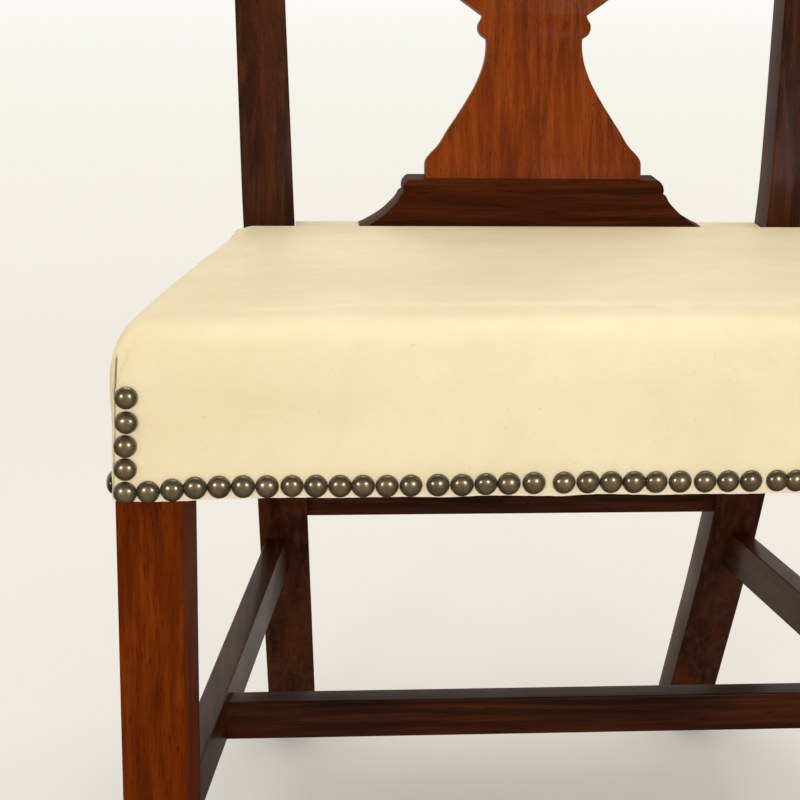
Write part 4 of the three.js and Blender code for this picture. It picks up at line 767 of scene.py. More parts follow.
splat_mesh = flat_board([
    whole_outline(splat_right_edge()), whole_outline(outline(LYRE_OPENING, LYRE_WIDTH / 2)),
], SPLAT_THICKNESS, SPLAT_EASED)
for vertex in splat_mesh.vertices:
    u, v, w = vertex.co
    vertex.co = on_board(u, v, w + SPLAT_THICKNESS / 2)
    if v < SPLAT_EASED + 0.01:
        # The foot is cut to stand flat on the shoe.
        vertex.co += splat_up * ((SHOE_TOP + SPLAT_LIFT - vertex.co.z) / splat_up.z)
    vertex.co = place(vertex.co)
splat_mesh.materials.clear()
splat_mesh.materials.append(mahogany("figured", splat_up, 7, FIGURED_WOOD,
                                     coat=0.1, shine=0.06, short=2.4))
finish_mesh(splat_mesh)
stand_for(new_object("lyre_splat_wood", splat_mesh), "lyre_splat")


# ---------------------------------------------------------------------------
# Strings: five brass rods that stand in drilled holes of the lyre, tarnished a little.

STRING_RADIUS = 2.1
STRING_PITCH = 12.0
STRING_COUNT = 5
STRING_SEAT = 9.0
STRING_BRASS = (0.62, 0.42, 0.16)
STRING_TARNISH = (0.3, 0.19, 0.07)


def string_brass():
    look = new_look("string_brass")
    metal = look.space()
    cloud = look.noise(metal, 260.0, 4.0, 0.65)
    spots = look.noise(metal, 1300.0, 3.0, 0.6)
    colour = look.tinted(STRING_BRASS, cloud, 0.4, 0.8, 1.0, STRING_TARNISH)
    colour = look.tinted(colour, spots, 0.6, 0.75, 0.25, darker(STRING_TARNISH, 0.6))
    return look.dress({
        "Base Color": colour, "Roughness": look.between(spots, 0.3, 0.7, 0.22, 0.36),
        "Normal": look.bump(spots, 0.05, 0.0001), "Metallic": 1.0,
    })


def circle(radius, sides):
    turns = (2 * math.pi * i / sides for i in range(sides))
    return [(radius * math.cos(turn), radius * math.sin(turn)) for turn in turns]


def rod(name, start, end, radius, material):
    along = (end - start).normalized()
    across = along.orthogonal().normalized()
    other = along.cross(across)
    length = (end - start).length
    rows = [(0, 0.8), (radius * 0.2, 1)]
    rows += [(mix(radius, length - radius, i / 8), 1) for i in range(9)]
    rows += [(length - radius * 0.2, 1), (length, 0.8)]
    return skin(name, [
        [start + along * far + across * s + other * t for s, t in circle(radius * share, 24)]
        for far, share in rows], material)


brass = string_brass()
string_low = LYRE_OPENING[0][0] * splat_height - STRING_SEAT
string_high = LYRE_OPENING[-1][0] * splat_height + STRING_SEAT
for i in range(STRING_COUNT):
    u = (i - (STRING_COUNT - 1) / 2) * STRING_PITCH
    string = rod(f"lyre_string_{i + 1}_brass", on_board(u, string_low, SPLAT_THICKNESS / 2),
                 on_board(u, string_high, SPLAT_THICKNESS / 2), STRING_RADIUS, brass)
    stand_for(string, f"lyre_string_{i + 1}")


# ---------------------------------------------------------------------------
# Seat: the stuffed form under the leather, and the leather stretched over it.
# The form is a crowned block that swells past the frame, softened by a cloth simulation.

FIT_GAP = 0.3
LEATHER = 1.0
LEATHER_BOTTOM = 390.5
SEAT_FRONT_EDGE = 474.0
SEAT_REAR_EDGE = 450.5
SEAT_CROWN = 7.0
SEAT_SIDE_CROWN = 3.5
SEAT_EDGE_ROUNDING = 25.0
SEAT_SIDE_ROUNDING = 16.0
SEAT_SIDE_REAR_ROUNDING = 13.0
SEAT_REAR_ROUNDING = 8.5
SEAT_CORNER_PULL = 10.8
SEAT_CORNER_REACH = 15.7
CORNER_TOP_POWER = 3.5
CORNER_SKIRT_POWER = 12.0
SEAT_BULGE = 1.2
SEAT_BULGE_START = 422.0
SEAT_ROLL_END = SEAT_FRAME_DEPTH - 7.0
FLAT_OUT = FIT_GAP + LEATHER
REAR_RAIL_BACK = SEAT_FRAME_DEPTH + REAR_RAIL_SETBACK + RAIL_THICKNESS
LEATHER_REAR = REAR_RAIL_BACK + FIT_GAP + LEATHER
PAD_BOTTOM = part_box("seat_pad")[0].z / MM
REAR_FLAT = PAD_BOTTOM + LEATHER
SWELL_CAP = 0.4
SWELL_FADE = (SEAT_BULGE_START - 18.0, 20.0)
SWELL_REAR_FADE = 0.012
VOXEL = 0.006
SWELL_FRAMES = 20


def leather_out(z):
    share = clamp((z - SEAT_BULGE_START) / (SEAT_REAR_EDGE - SEAT_BULGE_START))
    return FLAT_OUT + SEAT_BULGE * eased(share)


RIM_OUT = leather_out(SEAT_REAR_EDGE)
SEAT_RUN = SEAT_ROLL_END + RIM_OUT


def side_rounding(y):
    return mix(SEAT_SIDE_ROUNDING, SEAT_SIDE_REAR_ROUNDING, clamp((y + RIM_OUT) / SEAT_RUN))


def quarter_drop(radius, inside):
    """How far a quarter round has dropped at a distance in from its edge."""
    run = clamp((radius - inside) / radius)
    return radius * (1 - math.sqrt(1 - run * run))


def seat_top_z(x, y, half, depth=0.0):
    """Height of a layer of the seat that lies depth below the leather's face."""
    along = clamp((y + RIM_OUT) / SEAT_RUN)
    across = clamp(abs(x) / (half + depth))
    edge = mix(SEAT_FRONT_EDGE, SEAT_REAR_EDGE, along)
    crown = mix(SEAT_CROWN, SEAT_SIDE_CROWN, across ** 2.6) * math.sin(math.pi * along ** 0.5)
    to_side, to_front = half - abs(x), y + RIM_OUT - depth
    drop = max(quarter_drop(side_rounding(y) - depth, to_side),
               quarter_drop(SEAT_EDGE_ROUNDING - depth, to_front))
    drop += quarter_drop(SEAT_REAR_ROUNDING - depth, SEAT_ROLL_END - depth - y)
    pull = SEAT_CORNER_PULL * math.exp(-(math.hypot(to_side, to_front) / SEAT_CORNER_REACH) ** 2)
    return max(edge + crown - drop - pull - depth, REAR_FLAT - depth)


def round_corner(to_side, to_front, around, power):
    """Distances to a front corner's two faces, after its outline is rounded."""
    a, b = (around - to_side) / around, (around - to_front) / around
    if a <= 0 or b <= 0:
        return to_side, to_front
    draw = max(a, b) / (a ** power + b ** power) ** (1 / power)
    return around * (1 - a * draw), around * (1 - b * draw)


ROLL_STEPS = (*(0.35 * i for i in range(17)), 6.4, 7.4, 8.8, 10.6, 12.8, 15.2)
ROLL_SHARES = [step / 18 for step in ROLL_STEPS]


def seat_lines(spacing, depth, rear):
    """Places of the grid's lines, front to back."""
    front = -(RIM_OUT - depth)
    around = SEAT_EDGE_ROUNDING - depth
    lines = [front + share * around for share in ROLL_SHARES]
    field_end = SEAT_ROLL_END - SEAT_REAR_ROUNDING
    count = round((field_end - front - around) / spacing)
    lines += [mix(front + around, field_end, i / count) for i in range(count + 1)]
    lines += [field_end + (SEAT_REAR_ROUNDING - depth) * math.sin(math.pi / 2 * i / 6)
              for i in range(1, 7)]
    if rear is not None:
        lines += [mix(lines[-1], rear, share) for share in (0.33, 0.66, 0.9, 1.0)]
    return lines


def seat_columns(spacing, half, around):
    edge = [half - share * around for share in ROLL_SHARES]
    count = round(SEAT_FRAME_WIDTH / spacing)
    field = [(2 * i / count - 1) * (half - around) for i in range(count + 1)]
    return [-x for x in edge] + field + edge[::-1]


def seat_block(depth, bottom, rear, spacing, wall_rows):
    """Points and faces of a closed block, depth inside the leather's face."""
    rim_out = RIM_OUT - depth
    around = SEAT_SIDE_ROUNDING - depth
    lines = seat_lines(spacing, depth, rear)
    first, last = lines[0], lines[-1]

    def half_at(y, out=rim_out):
        return outer_face_x(y) + out * SIDE_LENGTHENING

    def cornered(x, y, out, power):
        to_side, to_front = round_corner(half_at(y, out) - abs(x), y + out, around, power)
        new_y = to_front - out
        return math.copysign(half_at(new_y, out) - to_side, x), new_y

    square = []
    for y in lines:
        half = half_at(y)
        square.append([(x, y, seat_top_z(x, y, half, depth))
                       for x in seat_columns(spacing, half, side_rounding(y) - depth)])
    columns, rows = len(square[0]) - 1, len(square) - 1
    rim = ([(0, i) for i in range(columns)] + [(j, columns) for j in range(rows)]
           + [(rows, i) for i in range(columns, 0, -1)] + [(j, 0) for j in range(rows, 0, -1)])
    points = [(*cornered(x, y, rim_out, CORNER_TOP_POWER), z) for row in square for x, y, z in row]
    width = columns + 1
    faces = [(k, k + 1, k + width + 1, k + width)
             for j in range(rows) for k in range(j * width, j * width + columns)]
    upper = [j * width + i for j, i in rim]
    for row in range(1, wall_rows + 1):
        share = row / wall_rows
        power = mix(CORNER_TOP_POWER, CORNER_SKIRT_POWER, share)
        lower = range(len(points), len(points) + len(rim))
        for j, i in rim:
            x, y, top = square[j][i]
            z = mix(top, bottom, share)
            out = leather_out(z) - depth
            new_y = mix(-out, last, (y - first) / (last - first))
            new_x = x / half_at(y) * half_at(new_y, out)
            points.append((*cornered(new_x, new_y, out, power), z))
        for k in range(len(rim)):
            n = (k + 1) % len(rim)
            faces.append((upper[k], lower[k], lower[n], upper[n]))
        upper = lower
    points.append((0, mix(first, last, 0.5), bottom))
    faces += [(p, len(points) - 1, upper[(k + 1) % len(upper)]) for k, p in enumerate(upper)]
    return points, faces


def swelling():
    """How far each point of the seat's form rises or sinks in a cloth simulation."""
    points, faces = seat_block(LEATHER + 0.5, RAIL_BOTTOM, SEAT_ROLL_END + 3, 9.0, 8)
    form = mesh_object("seat_form", points, faces, [])
    remesh = form.modifiers.new("remesh", "REMESH")
    remesh.mode = "VOXEL"
    remesh.voxel_size = VOXEL
    mesh = made_mesh(form)
    form.modifiers.clear()
    form.data = mesh
    start = [v.co.copy() for v in mesh.vertices]
    polygons = [tuple(p.vertices) for p in mesh.polygons]
    low = (SEAT_BULGE_START - 14) * MM
    rear = SEAT_ROLL_END * MM + FRAME_FRONT - 0.004
    held = form.vertex_groups.new(name="held")
    held.add([i for i, p in enumerate(start) if p.z < low or p.y > rear], 1.0, "REPLACE")
    cloth = form.modifiers.new("cloth", "CLOTH")
    for name, value in (
        ("use_pressure", True), ("uniform_pressure_force", 4.0), ("vertex_group_mass", "held"),
        ("tension_stiffness", 30), ("compression_stiffness", 30), ("bending_stiffness", 2.0),
    ):
        setattr(cloth.settings, name, value)
    cloth.settings.effector_weights.gravity = 0
    cloth.point_cache.frame_start = 1
    cloth.point_cache.frame_end = SWELL_FRAMES
    for number in range(1, SWELL_FRAMES + 1):
        bpy.context.scene.frame_set(number)
    rises = [(after.co - before.co).dot(before.normal)
             for before, after in zip(mesh.vertices, made_mesh(form).vertices)]
    free = sorted(rise for rise, p in zip(rises, start) if p.z > low and p.y < rear)
    rises = [rise - free[len(free) // 2] for rise in rises]
    form.modifiers.clear()
    bpy.data.objects.remove(form)
    bpy.context.scene.frame_set(1)
    return BVHTree.FromPolygons(start, polygons), start, polygons, rises


swell = swelling()


def swell_at(point):
    """The capped move of the seat's surface at a point of the part's frame, fading low down."""
    raised = eased(clamp((point.z / MM - SWELL_FADE[0]) / SWELL_FADE[1]))
    fore = eased(clamp((SEAT_ROLL_END * MM + FRAME_FRONT - point.y) / SWELL_REAR_FADE))
    if swell is None or raised * fore == 0:
        return Vector((0, 0, 0))
    tree, start, polygons, rises = swell
    _, normal, index, _ = tree.find_nearest(point)
    total = rise = 0.0
    for corner in polygons[index]:
        weight = 1 / ((start[corner] - point).length + 1e-4)
        total += weight
        rise += rises[corner] * weight
    cap = SWELL_CAP * MM
    return normal * (cap * math.tanh(rise / total / cap) * raised * fore)


def seat_form(name, block, material):
    """A form of the seat from a block's points and faces, with its swelling."""
    piece = mesh_object(name, *block, [material], 60.0)
    for vertex in piece.data.vertices:
        vertex.co += swell_at(vertex.co)
    return piece


# The stuffing: hair and cotton, felted, seen only where the leather is off.
def stuffing_material():
    look = new_look("stuffing")
    wool = look.space()
    tufts = look.noise(wool, 90.0, 5.0, 0.7)
    combed = look.stretched(look.turned(wool, (0.3, 0.2, 0.9)), (1, 0.1, 1))
    hairs = look.noise(combed, 1200.0, 3.0, 0.7)
    colour = look.tinted((0.62, 0.54, 0.4), tufts, 0.3, 0.7, 1.0, (0.84, 0.8, 0.68))
    colour = look.tinted(colour, hairs, 0.55, 0.8, 0.4, (0.4, 0.32, 0.2))
    return look.dress({
        "Base Color": colour, "Roughness": 0.95,
        "Normal": look.bump(hairs, 0.5, 0.0006, look.bump(tufts, 0.6, 0.004)),
    })


stuffing = seat_form("seat_stuffing", seat_block(LEATHER + 0.6, PAD_BOTTOM, None, 6.0, 6),
                     stuffing_material())
for vertex in stuffing.data.vertices:
    vertex.co.z = max(vertex.co.z, PAD_BOTTOM * MM)
stand_for(stuffing, "seat_pad")


# ---------------------------------------------------------------------------
# Leather: one hide stretched over the stuffing and nailed to the rails, slit and folded at
# the front corners, with a raw lower edge.

# Corner slits: how far in from the corner each runs, by height.
SLIT_LINE = ((392, 1.2), (412, 2.1), (427, 2.85), (440, 3.8), (447, 4.2), (462, 4.25))
SLIT_FOOT = 394.0
SLIT_TOP = 460.0
SLIT_DEPTH = 0.75
SLIT_WIDTH = 0.4
SLIT_LAP = 0.35
SLIT_FACE_DEPTH = 7.0
# Width of the slit's dark line, which is dirt and painted shade.
SLIT_DARK_WIDTH = 0.5
EDGE_TRIM = 0.3
EDGE_WAVE = 0.8
EDGE_FRAY = 0.25
CORNER_TRIM = 1.4
CORNER_TRIM_PLACE = 0.262
CORNER_TRIM_REACH = 0.045
PUCKER_PLACE = (0.259, FRAME_FRONT + 0.006, 0.462)
PUCKER_REACH = 0.017
POST_CUT_BEYOND = 70.0


def leather_material():
    look = new_look("cream_leather")
    hide = look.space()
    mottle = look.noise(hide, 9.0, 4.0, 0.55)
    fine = look.noise(hide, 60.0, 4.0, 0.6)
    specks = look.noise(hide, 420.0, 2.0, 0.5)
    streaks = look.noise(look.stretched(hide, (0.12, 1, 1)), 160.0, 3.0, 0.6)
    colour = look.tinted((0.805, 0.68, 0.425), mottle, 0.35, 0.68, 1.0, (0.875, 0.762, 0.515))
    colour = look.tinted(colour, fine, 0.4, 0.75, 0.35, (0.78, 0.64, 0.4))
    colour = look.tinted(colour, streaks, 0.55, 0.8, 0.25, (0.9, 0.8, 0.56))
    colour = look.tinted(colour, specks, 0.70, 0.76, 0.35, (0.6, 0.47, 0.28))
    # The raw lower edge is pale and a little grubby.
    height = look.add("ShaderNodeSeparateXYZ", {0: hide}).outputs["Z"]
    ragged = look.maths("ADD", height, look.times(specks, 0.0012))
    edge = look.between(ragged, 0.3926, 0.3914)
    colour = look.blend(look.times(edge, 0.7), colour, (0.84, 0.72, 0.62))
    # Along the corner slits: dirt and painted shade in the slit, and painted shade on the leather
    # beyond it.
    colour = look.blend(look.attribute("soil"), colour, (0.2, 0.11, 0.05))
    pebbles = look.cells(hide, 950.0, "SMOOTH_F1", Smoothness=0.6)
    drift = look.vector("SCALE", {0: look.noise(hide, 35.0, 2.0, output="Color"), "Scale": 0.02})
    wandering = look.vector("ADD", {0: hide, 1: drift})
    crease = look.between(look.cells(wandering, 130.0, "DISTANCE_TO_EDGE"), 0.0, 0.06)
    slanted = look.stretched(look.turned(hide, (0.5, 0.2, 0.6)), (1, 0.3, 0.8))
    gathers = look.noise(slanted, 330.0, 3.0, 0.6)
    surface = None
    for pattern, strength, height in (
        (mottle, 0.25, 0.004), (crease, 0.10, 0.0003), (pebbles, 0.22, 0.00022),
        (look.times(gathers, look.attribute("pucker")), 0.5, 0.0012),
        (streaks, 0.12, 0.0005),
    ):
        surface = look.bump(pattern, strength, height, surface)
    return look.dress({
        "Base Color": colour, "Roughness": look.between(fine, 0.3, 0.7, 0.42, 0.56),
        "Normal": surface, "Specular IOR Level": 0.42, "Sheen Weight": 0.06,
    })


def along_table(table, place):
    _, (_, low), (_, high), part = table_rows(table, place)
    return mix(low, high, mix(part, eased(part), 0.5))


def number_points(mesh, name, value_at):
    """Gives each point of a mesh a number of its own, for its material."""
    values = mesh.attributes.new(name, "FLOAT", "POINT").data
    for value, vertex in zip(values, mesh.vertices):
        value.value = value_at(vertex.co)


def cut_away(piece, cutter):
    modifier = piece.modifiers.new("cut", "BOOLEAN")
    modifier.operation = "DIFFERENCE"
    modifier.solver = "MANIFOLD"
    modifier.object = cutter
    mesh = made_mesh(piece)
    piece.modifiers.clear()
    piece.data = mesh
    bpy.data.objects.remove(cutter)


def cut_for_posts(piece, margin, bottom):
    """Cuts away what lies outside and behind the front and inner faces of the rear posts."""
    outer, back = SEAT_FRAME_WIDTH / 2, SEAT_FRAME_DEPTH + POST_CUT_BEYOND
    rings = []
    for i in range(17):
        z = mix(bottom, SHOE_TOP + 10, i / 16)
        inner = post_outer_x(z) - post_width(z) - margin
        front = post_front_y(z) - margin
        rings.append([(inner, front, z), (outer, front, z), (outer, back, z), (inner, back, z)])
    for left in (False, True):
        column = skin("column", rings, cream_leather)
        if left:
            flip_over(column.data)
        cut_away(piece, column)


def slit_gap(x, y, z):
    """How far in from the slit a point of the front face is, and how open the slit is there."""
    corner = outer_face_x(y) + leather_out(z) * SIDE_LENGTHENING
    reach = eased(clamp((SLIT_TOP + 2 - z) / 4)) * eased(clamp((z - SLIT_FOOT + 5) / 3))
    return corner - abs(x) - along_table(SLIT_LINE, z), reach if y < SLIT_FACE_DEPTH else 0.0


cream_leather = leather_material()
leather_cover = seat_form("leather_cover_hide",
                          seat_block(0.0, LEATHER_BOTTOM, LEATHER_REAR, 3.2, 22), cream_leather)
for vertex in leather_cover.data.vertices:
    gap, reach = slit_gap(*measured(vertex.co))
    vertex.co.y += SLIT_DEPTH * MM * reach * math.exp(-(gap / SLIT_WIDTH) ** 2)
    # The leather beyond the slit is the side's, and turns back round the corner.
    vertex.co.y += SLIT_LAP * MM * reach * clamp(-gap)
hollow = seat_form("hollow", seat_block(
    LEATHER, LEATHER_BOTTOM - 10, LEATHER_REAR - LEATHER, 5.0, 16), cream_leather)
cut_for_posts(hollow, FIT_GAP + LEATHER, RAIL_TOP + FIT_GAP)
cut_away(leather_cover, hollow)
cut_for_posts(leather_cover, FIT_GAP, LEATHER_BOTTOM - 20)

for vertex in leather_cover.data.vertices:
    x, y, _ = vertex.co
    low = eased(clamp((LEATHER_BOTTOM + 4 - vertex.co.z / MM) / 4))
    near_corner = math.exp(-((abs(x) - CORNER_TRIM_PLACE) / CORNER_TRIM_REACH) ** 2)
    wave = EDGE_WAVE * noise.noise(Vector((x * 40, y * 40, 0.5)))
    fray = EDGE_FRAY * noise.noise(Vector((x * 500, y * 500, 2.5)))
    vertex.co.z += low * MM * (wave + fray - EDGE_TRIM - CORNER_TRIM * near_corner)
finish_mesh(leather_cover.data, 50.0)


def puckered(co):
    """The leather is gathered in fine puckers round the top of the slit."""
    away = Vector((abs(co.x), co.y, co.z)) - Vector(PUCKER_PLACE)
    return math.exp(-(away.length / PUCKER_REACH) ** 2)


def slit_soil_and_shade(co):
    """The slit's cut edge is darkened by dirt and by painted shade in the slit; more faintly, the
    leather beyond it gets painted shade where it turns from the light.
    """
    x, y, z = measured(co)
    gap, reach = slit_gap(x, y, z)
    cut = mix(0.55, 1.0, clamp((z - 425) / 25)) * math.exp(-(gap / SLIT_DARK_WIDTH) ** 2)
    beyond = 0.16 * clamp(-gap) * clamp((z - 400) / 40)
    return reach * max(cut, beyond)


number_points(leather_cover.data, "pucker", puckered)
number_points(leather_cover.data, "soil", slit_soil_and_shade)
stand_for(leather_cover, "leather_cover")


# ---------------------------------------------------------------------------
# Nail heads: domed antique brass, set by hand along the leather's lower edge and up the
# front corners. The places along the front follow the photograph, nail by nail.

NAIL_RADIUS = 5.85
NAIL_HEIGHT = 3.4
NAIL_SIDES = 22
NAIL_ROW = LEATHER_BOTTOM + 6.4
NAIL_PITCH = 11.75
NAIL_SEED = 11
NAIL_TILT = 0.05
NAIL_SIZE_SPREAD = 0.02
NAIL_COLUMN_OUT = FLAT_OUT + 0.8
NAIL_CORNER_GAP = 6.2
NAIL_POST_GAP = 6.0
NAIL_SIDE_ENDS = (6.0, SEAT_FRAME_DEPTH - 7.0)
NAIL_SHAKE_ALONG = 0.5
NAIL_SHAKE_UP = 0.6
PHOTO_SIZE = 800


def nail_dome():
    """A domed head round the origin, its underside sunk a little into the leather."""
    profile = [(math.sin(t), math.cos(t)) for t in (math.pi / 2 * i / 9 for i in range(1, 9))]
    shape = bmesh.new()
    rings = []
    for radius, height in profile + [(1.0, 0.06), (0.985, -0.12)]:
        rings.append([shape.verts.new((x, y, height * NAIL_HEIGHT * MM))
                      for x, y in circle(radius * NAIL_RADIUS * MM, NAIL_SIDES)])
    tip = shape.verts.new((0, 0, NAIL_HEIGHT * MM))
    for i in range(NAIL_SIDES):
        k = (i + 1) % NAIL_SIDES
        shape.faces.new((tip, rings[0][i], rings[0][k]))
        for inner, outer in zip(rings, rings[1:]):
            shape.faces.new((inner[i], outer[i], outer[k], inner[k]))
    mesh = bpy.data.meshes.new("nail_dome")
    shape.to_mesh(mesh)
    shape.free()
    # How far out each point is, so that the rims can be darker than the rubbed crowns: partly
    # patina, partly a painted reflection of the dim surroundings.
    number_points(mesh, "rim", lambda co: math.hypot(co.x, co.y) / (NAIL_RADIUS * MM))
    mesh.shade_smooth()
    return new_object("nail_dome", mesh)


def ray_to_front(u, v, front_y):
    """Where the camera's ray through a place in the photograph meets an upright plane."""
    middle = PHOTO_SIZE / 2
    focus = CAMERA_LENS * PHOTO_SIZE / SENSOR
    ray = ahead * focus + camera_right * (u - middle) - camera_up * (v - middle)
    start = Vector(CAMERA_PLACE)
    hit = start + ray * ((front_y * MM + FRAME_FRONT - start.y) / ray.y)
    return hit.x / MM, hit.z / MM


# Middles of the nails in the photograph's row, left to right.
PHOTO_ROW = [
    (125, 493), (148, 492), (172, 490), (195, 488), (219, 487), (243, 486.5), (267, 486.5),
    (292, 486), (316, 486), (340, 486), (363, 486), (387, 486), (411, 485.5), (438, 485),
    (462, 485), (486, 484), (509, 483.5), (534, 483), (564, 482.5), (588, 482), (611, 482),
    (634, 482), (656, 482), (680, 481.5), (705, 481.5), (728, 481), (751, 481), (777, 480.5),
    (796, 480.5),
]
PHOTO_COLUMN = [(126, 398), (126, 423), (125, 447), (125, 470)]


def shaken(amount, a, b, c):
    """A small hand-set irregularity, the same one at every run."""
    return amount * noise.noise(Vector((a, b, c)))


def nail_places():
    """(place, outward) of every nail."""
    front = (0, -1, 0)
    row = [ray_to_front(u, v, -FLAT_OUT) for u, v in PHOTO_ROW]
    end = SEAT_FRAME_WIDTH / 2 + FLAT_OUT - NAIL_CORNER_GAP
    last = row[-1][0]
    count = round((end - last) / NAIL_PITCH)
    for i in range(1, count + 1):
        z = NAIL_ROW + shaken(NAIL_SHAKE_ALONG, i * 3.7, 0.5, 0.5)
        row.append((mix(last, end, i / count), z))
    places = [((x, -FLAT_OUT, z), front) for x, z in row]
    for u, v in PHOTO_COLUMN:
        x, z = ray_to_front(u, v, -NAIL_COLUMN_OUT)
        places.append(((x, -leather_out(z), z), front))
        # The right column, past the picture's edge, nearly mirrors it.
        places.append(((-x + 0.4, -leather_out(z), z + 0.3), front))
    right = Vector((1, SIDE_TAPER, 0)).normalized()
    start, stop = NAIL_SIDE_ENDS
    count = int((stop - start) * SIDE_LENGTHENING / NAIL_PITCH) + 1
    for side in (1, -1):
        for i in range(count):
            y = mix(start, stop, i / (count - 1)) + shaken(NAIL_SHAKE_ALONG, i * 1.7, side, 4.5)
            z = NAIL_ROW + shaken(NAIL_SHAKE_UP, i * 2.3, side, 7.5)
            x = outer_face_x(y) + FLAT_OUT * SIDE_LENGTHENING
            places.append(((side * x, y, z), (side * right.x, right.y, 0)))
    span = 2 * (post_outer_x(NAIL_ROW) - post_width(NAIL_ROW) - FIT_GAP - NAIL_POST_GAP)
    count = int(span / NAIL_PITCH) + 1
    for i in range(count):
        z = NAIL_ROW + shaken(NAIL_SHAKE_UP, i * 2.9, 1.5, 9.5)
        places.append(((span * (i / (count - 1) - 0.5), LEATHER_REAR, z), (0, 1, 0)))
    return places


def nail_brass(name, crown, patina):
    """Antiqued brass: a dark patina, rubbed a little brighter on the crown of each head; the rims
    darker, partly patina and partly a painted reflection of the dim surroundings.
    """
    look = new_look("nail_brass_" + name)
    metal = look.space()
    cloud = look.noise(metal, 170.0, 3.0, 0.6)
    spots = look.noise(metal, 1500.0, 3.0, 0.65)
    colour = look.tinted(crown, cloud, 0.35, 0.65, 1.0, patina)
    # The rims darken towards the edge: partly patina, partly painted shade standing in for the dim
    # surroundings that the domes mirror there.
    colour = look.tinted(colour, look.attribute("rim"), 0.4, 0.98, 1.0, darker(patina, 0.28))
    colour = look.tinted(colour, spots, 0.55, 0.7, 0.45, darker(patina, 0.5))
    return look.dress({
        "Base Color": colour, "Roughness": look.between(spots, 0.3, 0.7, 0.3, 0.4),
        "Normal": look.bump(spots, 0.06, 0.0001), "Metallic": 0.8,
        "Coat Weight": 1.0, "Coat Roughness": 0.09, "Coat IOR": 1.9,
    })


NAIL_BRASSES = [
    nail_brass("olive", (0.46, 0.365, 0.21), (0.29, 0.23, 0.125)),
    nail_brass("brown", (0.47, 0.355, 0.2), (0.29, 0.215, 0.115)),
    nail_brass("warm", (0.5, 0.375, 0.21), (0.31, 0.23, 0.12)),
    nail_brass("dark", (0.4, 0.33, 0.2), (0.26, 0.21, 0.125)),
]


def nail_group():
    """Puts the dome on each point, with its own tilt, size and brass."""
    group = bpy.data.node_groups.new("nail_heads", "GeometryNodeTree")
    for name, kind in (("Geometry", "Geometry"), ("Dome", "Object"), ("Tilt", "Float"),
                       ("Size Spread", "Float"), ("Seed", "Int")):
        group.interface.new_socket(name, in_out="INPUT", socket_type="NodeSocket" + kind)
    group.interface.new_socket("Geometry", in_out="OUTPUT", socket_type="NodeSocketGeometry")
    net = Look(group)
    given = net.add("NodeGroupInput").outputs

    def drawn(kind, first, low, high):
        """A random value for each nail. Each kind has sockets of its own, counted from first."""
        return net.add("FunctionNodeRandomValue", {
            first: low, first + 1: high, "Seed": given["Seed"]}, data_type=kind).outputs[first // 2]

    def stored(name, kind):
        return net.add("GeometryNodeInputNamedAttribute", {"Name": name},
                       data_type=kind).outputs["Attribute"]

    aim = net.add("FunctionNodeAlignEulerToVector", {
        "Vector": stored("outward", "FLOAT_VECTOR")}, axis="Z")
    lean = [net.vector("SCALE", {0: way, "Scale": given["Tilt"]})
            for way in ((-1, -1, -1), (1, 1, 1))]
    tilted = net.add("FunctionNodeRotateEuler", {
        "Rotation": aim.outputs["Rotation"], "Rotate By": drawn("FLOAT_VECTOR", 0, *lean),
    }, rotation_type="EULER", space="OBJECT")
    sizes = [net.maths(way, 1.0, given["Size Spread"]) for way in ("SUBTRACT", "ADD")]
    dome = net.add("GeometryNodeObjectInfo", {"Object": given["Dome"]})
    put = net.add("GeometryNodeInstanceOnPoints", {
        "Points": given["Geometry"], "Instance": dome.outputs["Geometry"],
        "Rotation": tilted.outputs["Rotation"], "Scale": drawn("FLOAT", 2, *sizes)})
    keep = net.add("GeometryNodeStoreNamedAttribute", {
        "Geometry": put.outputs["Instances"], "Name": "brass",
        "Value": drawn("INT", 4, 0, len(NAIL_BRASSES) - 1),
    }, data_type="INT", domain="INSTANCE")
    real = net.add("GeometryNodeRealizeInstances", {"Geometry": keep.outputs["Geometry"]})
    flow = real.outputs["Geometry"]
    for number, metal in enumerate(NAIL_BRASSES):
        same = net.add("FunctionNodeCompare", {2: stored("brass", "INT"), 3: number},
                       data_type="INT", operation="EQUAL")
        flow = net.add("GeometryNodeSetMaterial", {
            "Geometry": flow, "Selection": same.outputs["Result"], "Material": metal,
        }).outputs["Geometry"]
    net.add("NodeGroupOutput", {"Geometry": flow})
    return group


def nail_heads():
    places = nail_places()
    mesh = bpy.data.meshes.new("nail_places")
    mesh.from_pydata([place(p) for p, _ in places], [], [])
    outward = mesh.attributes.new("outward", "FLOAT_VECTOR", "POINT")
    for value, (_, direction) in zip(outward.data, places):
        value.vector = direction
    piece = new_object("nail_heads_brass", mesh)
    modifier = piece.modifiers.new("nails", "NODES")
    modifier.node_group = nail_group()
    values = {"Dome": nail_dome(), "Tilt": NAIL_TILT, "Size Spread": NAIL_SIZE_SPREAD,
              "Seed": NAIL_SEED}
    for item in modifier.node_group.interface.items_tree:
        if item.name in values:
            modifier[item.identifier] = values[item.name]
    whole = made_mesh(piece)
    piece.modifiers.clear()
    piece.data = whole
    bpy.data.objects.remove(values["Dome"])
    return piece


nails = nail_heads()
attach(nails, "root")


# ---------------------------------------------------------------------------
# Hidden frame: beech rails and corner blocks, steel screws, jute webs.

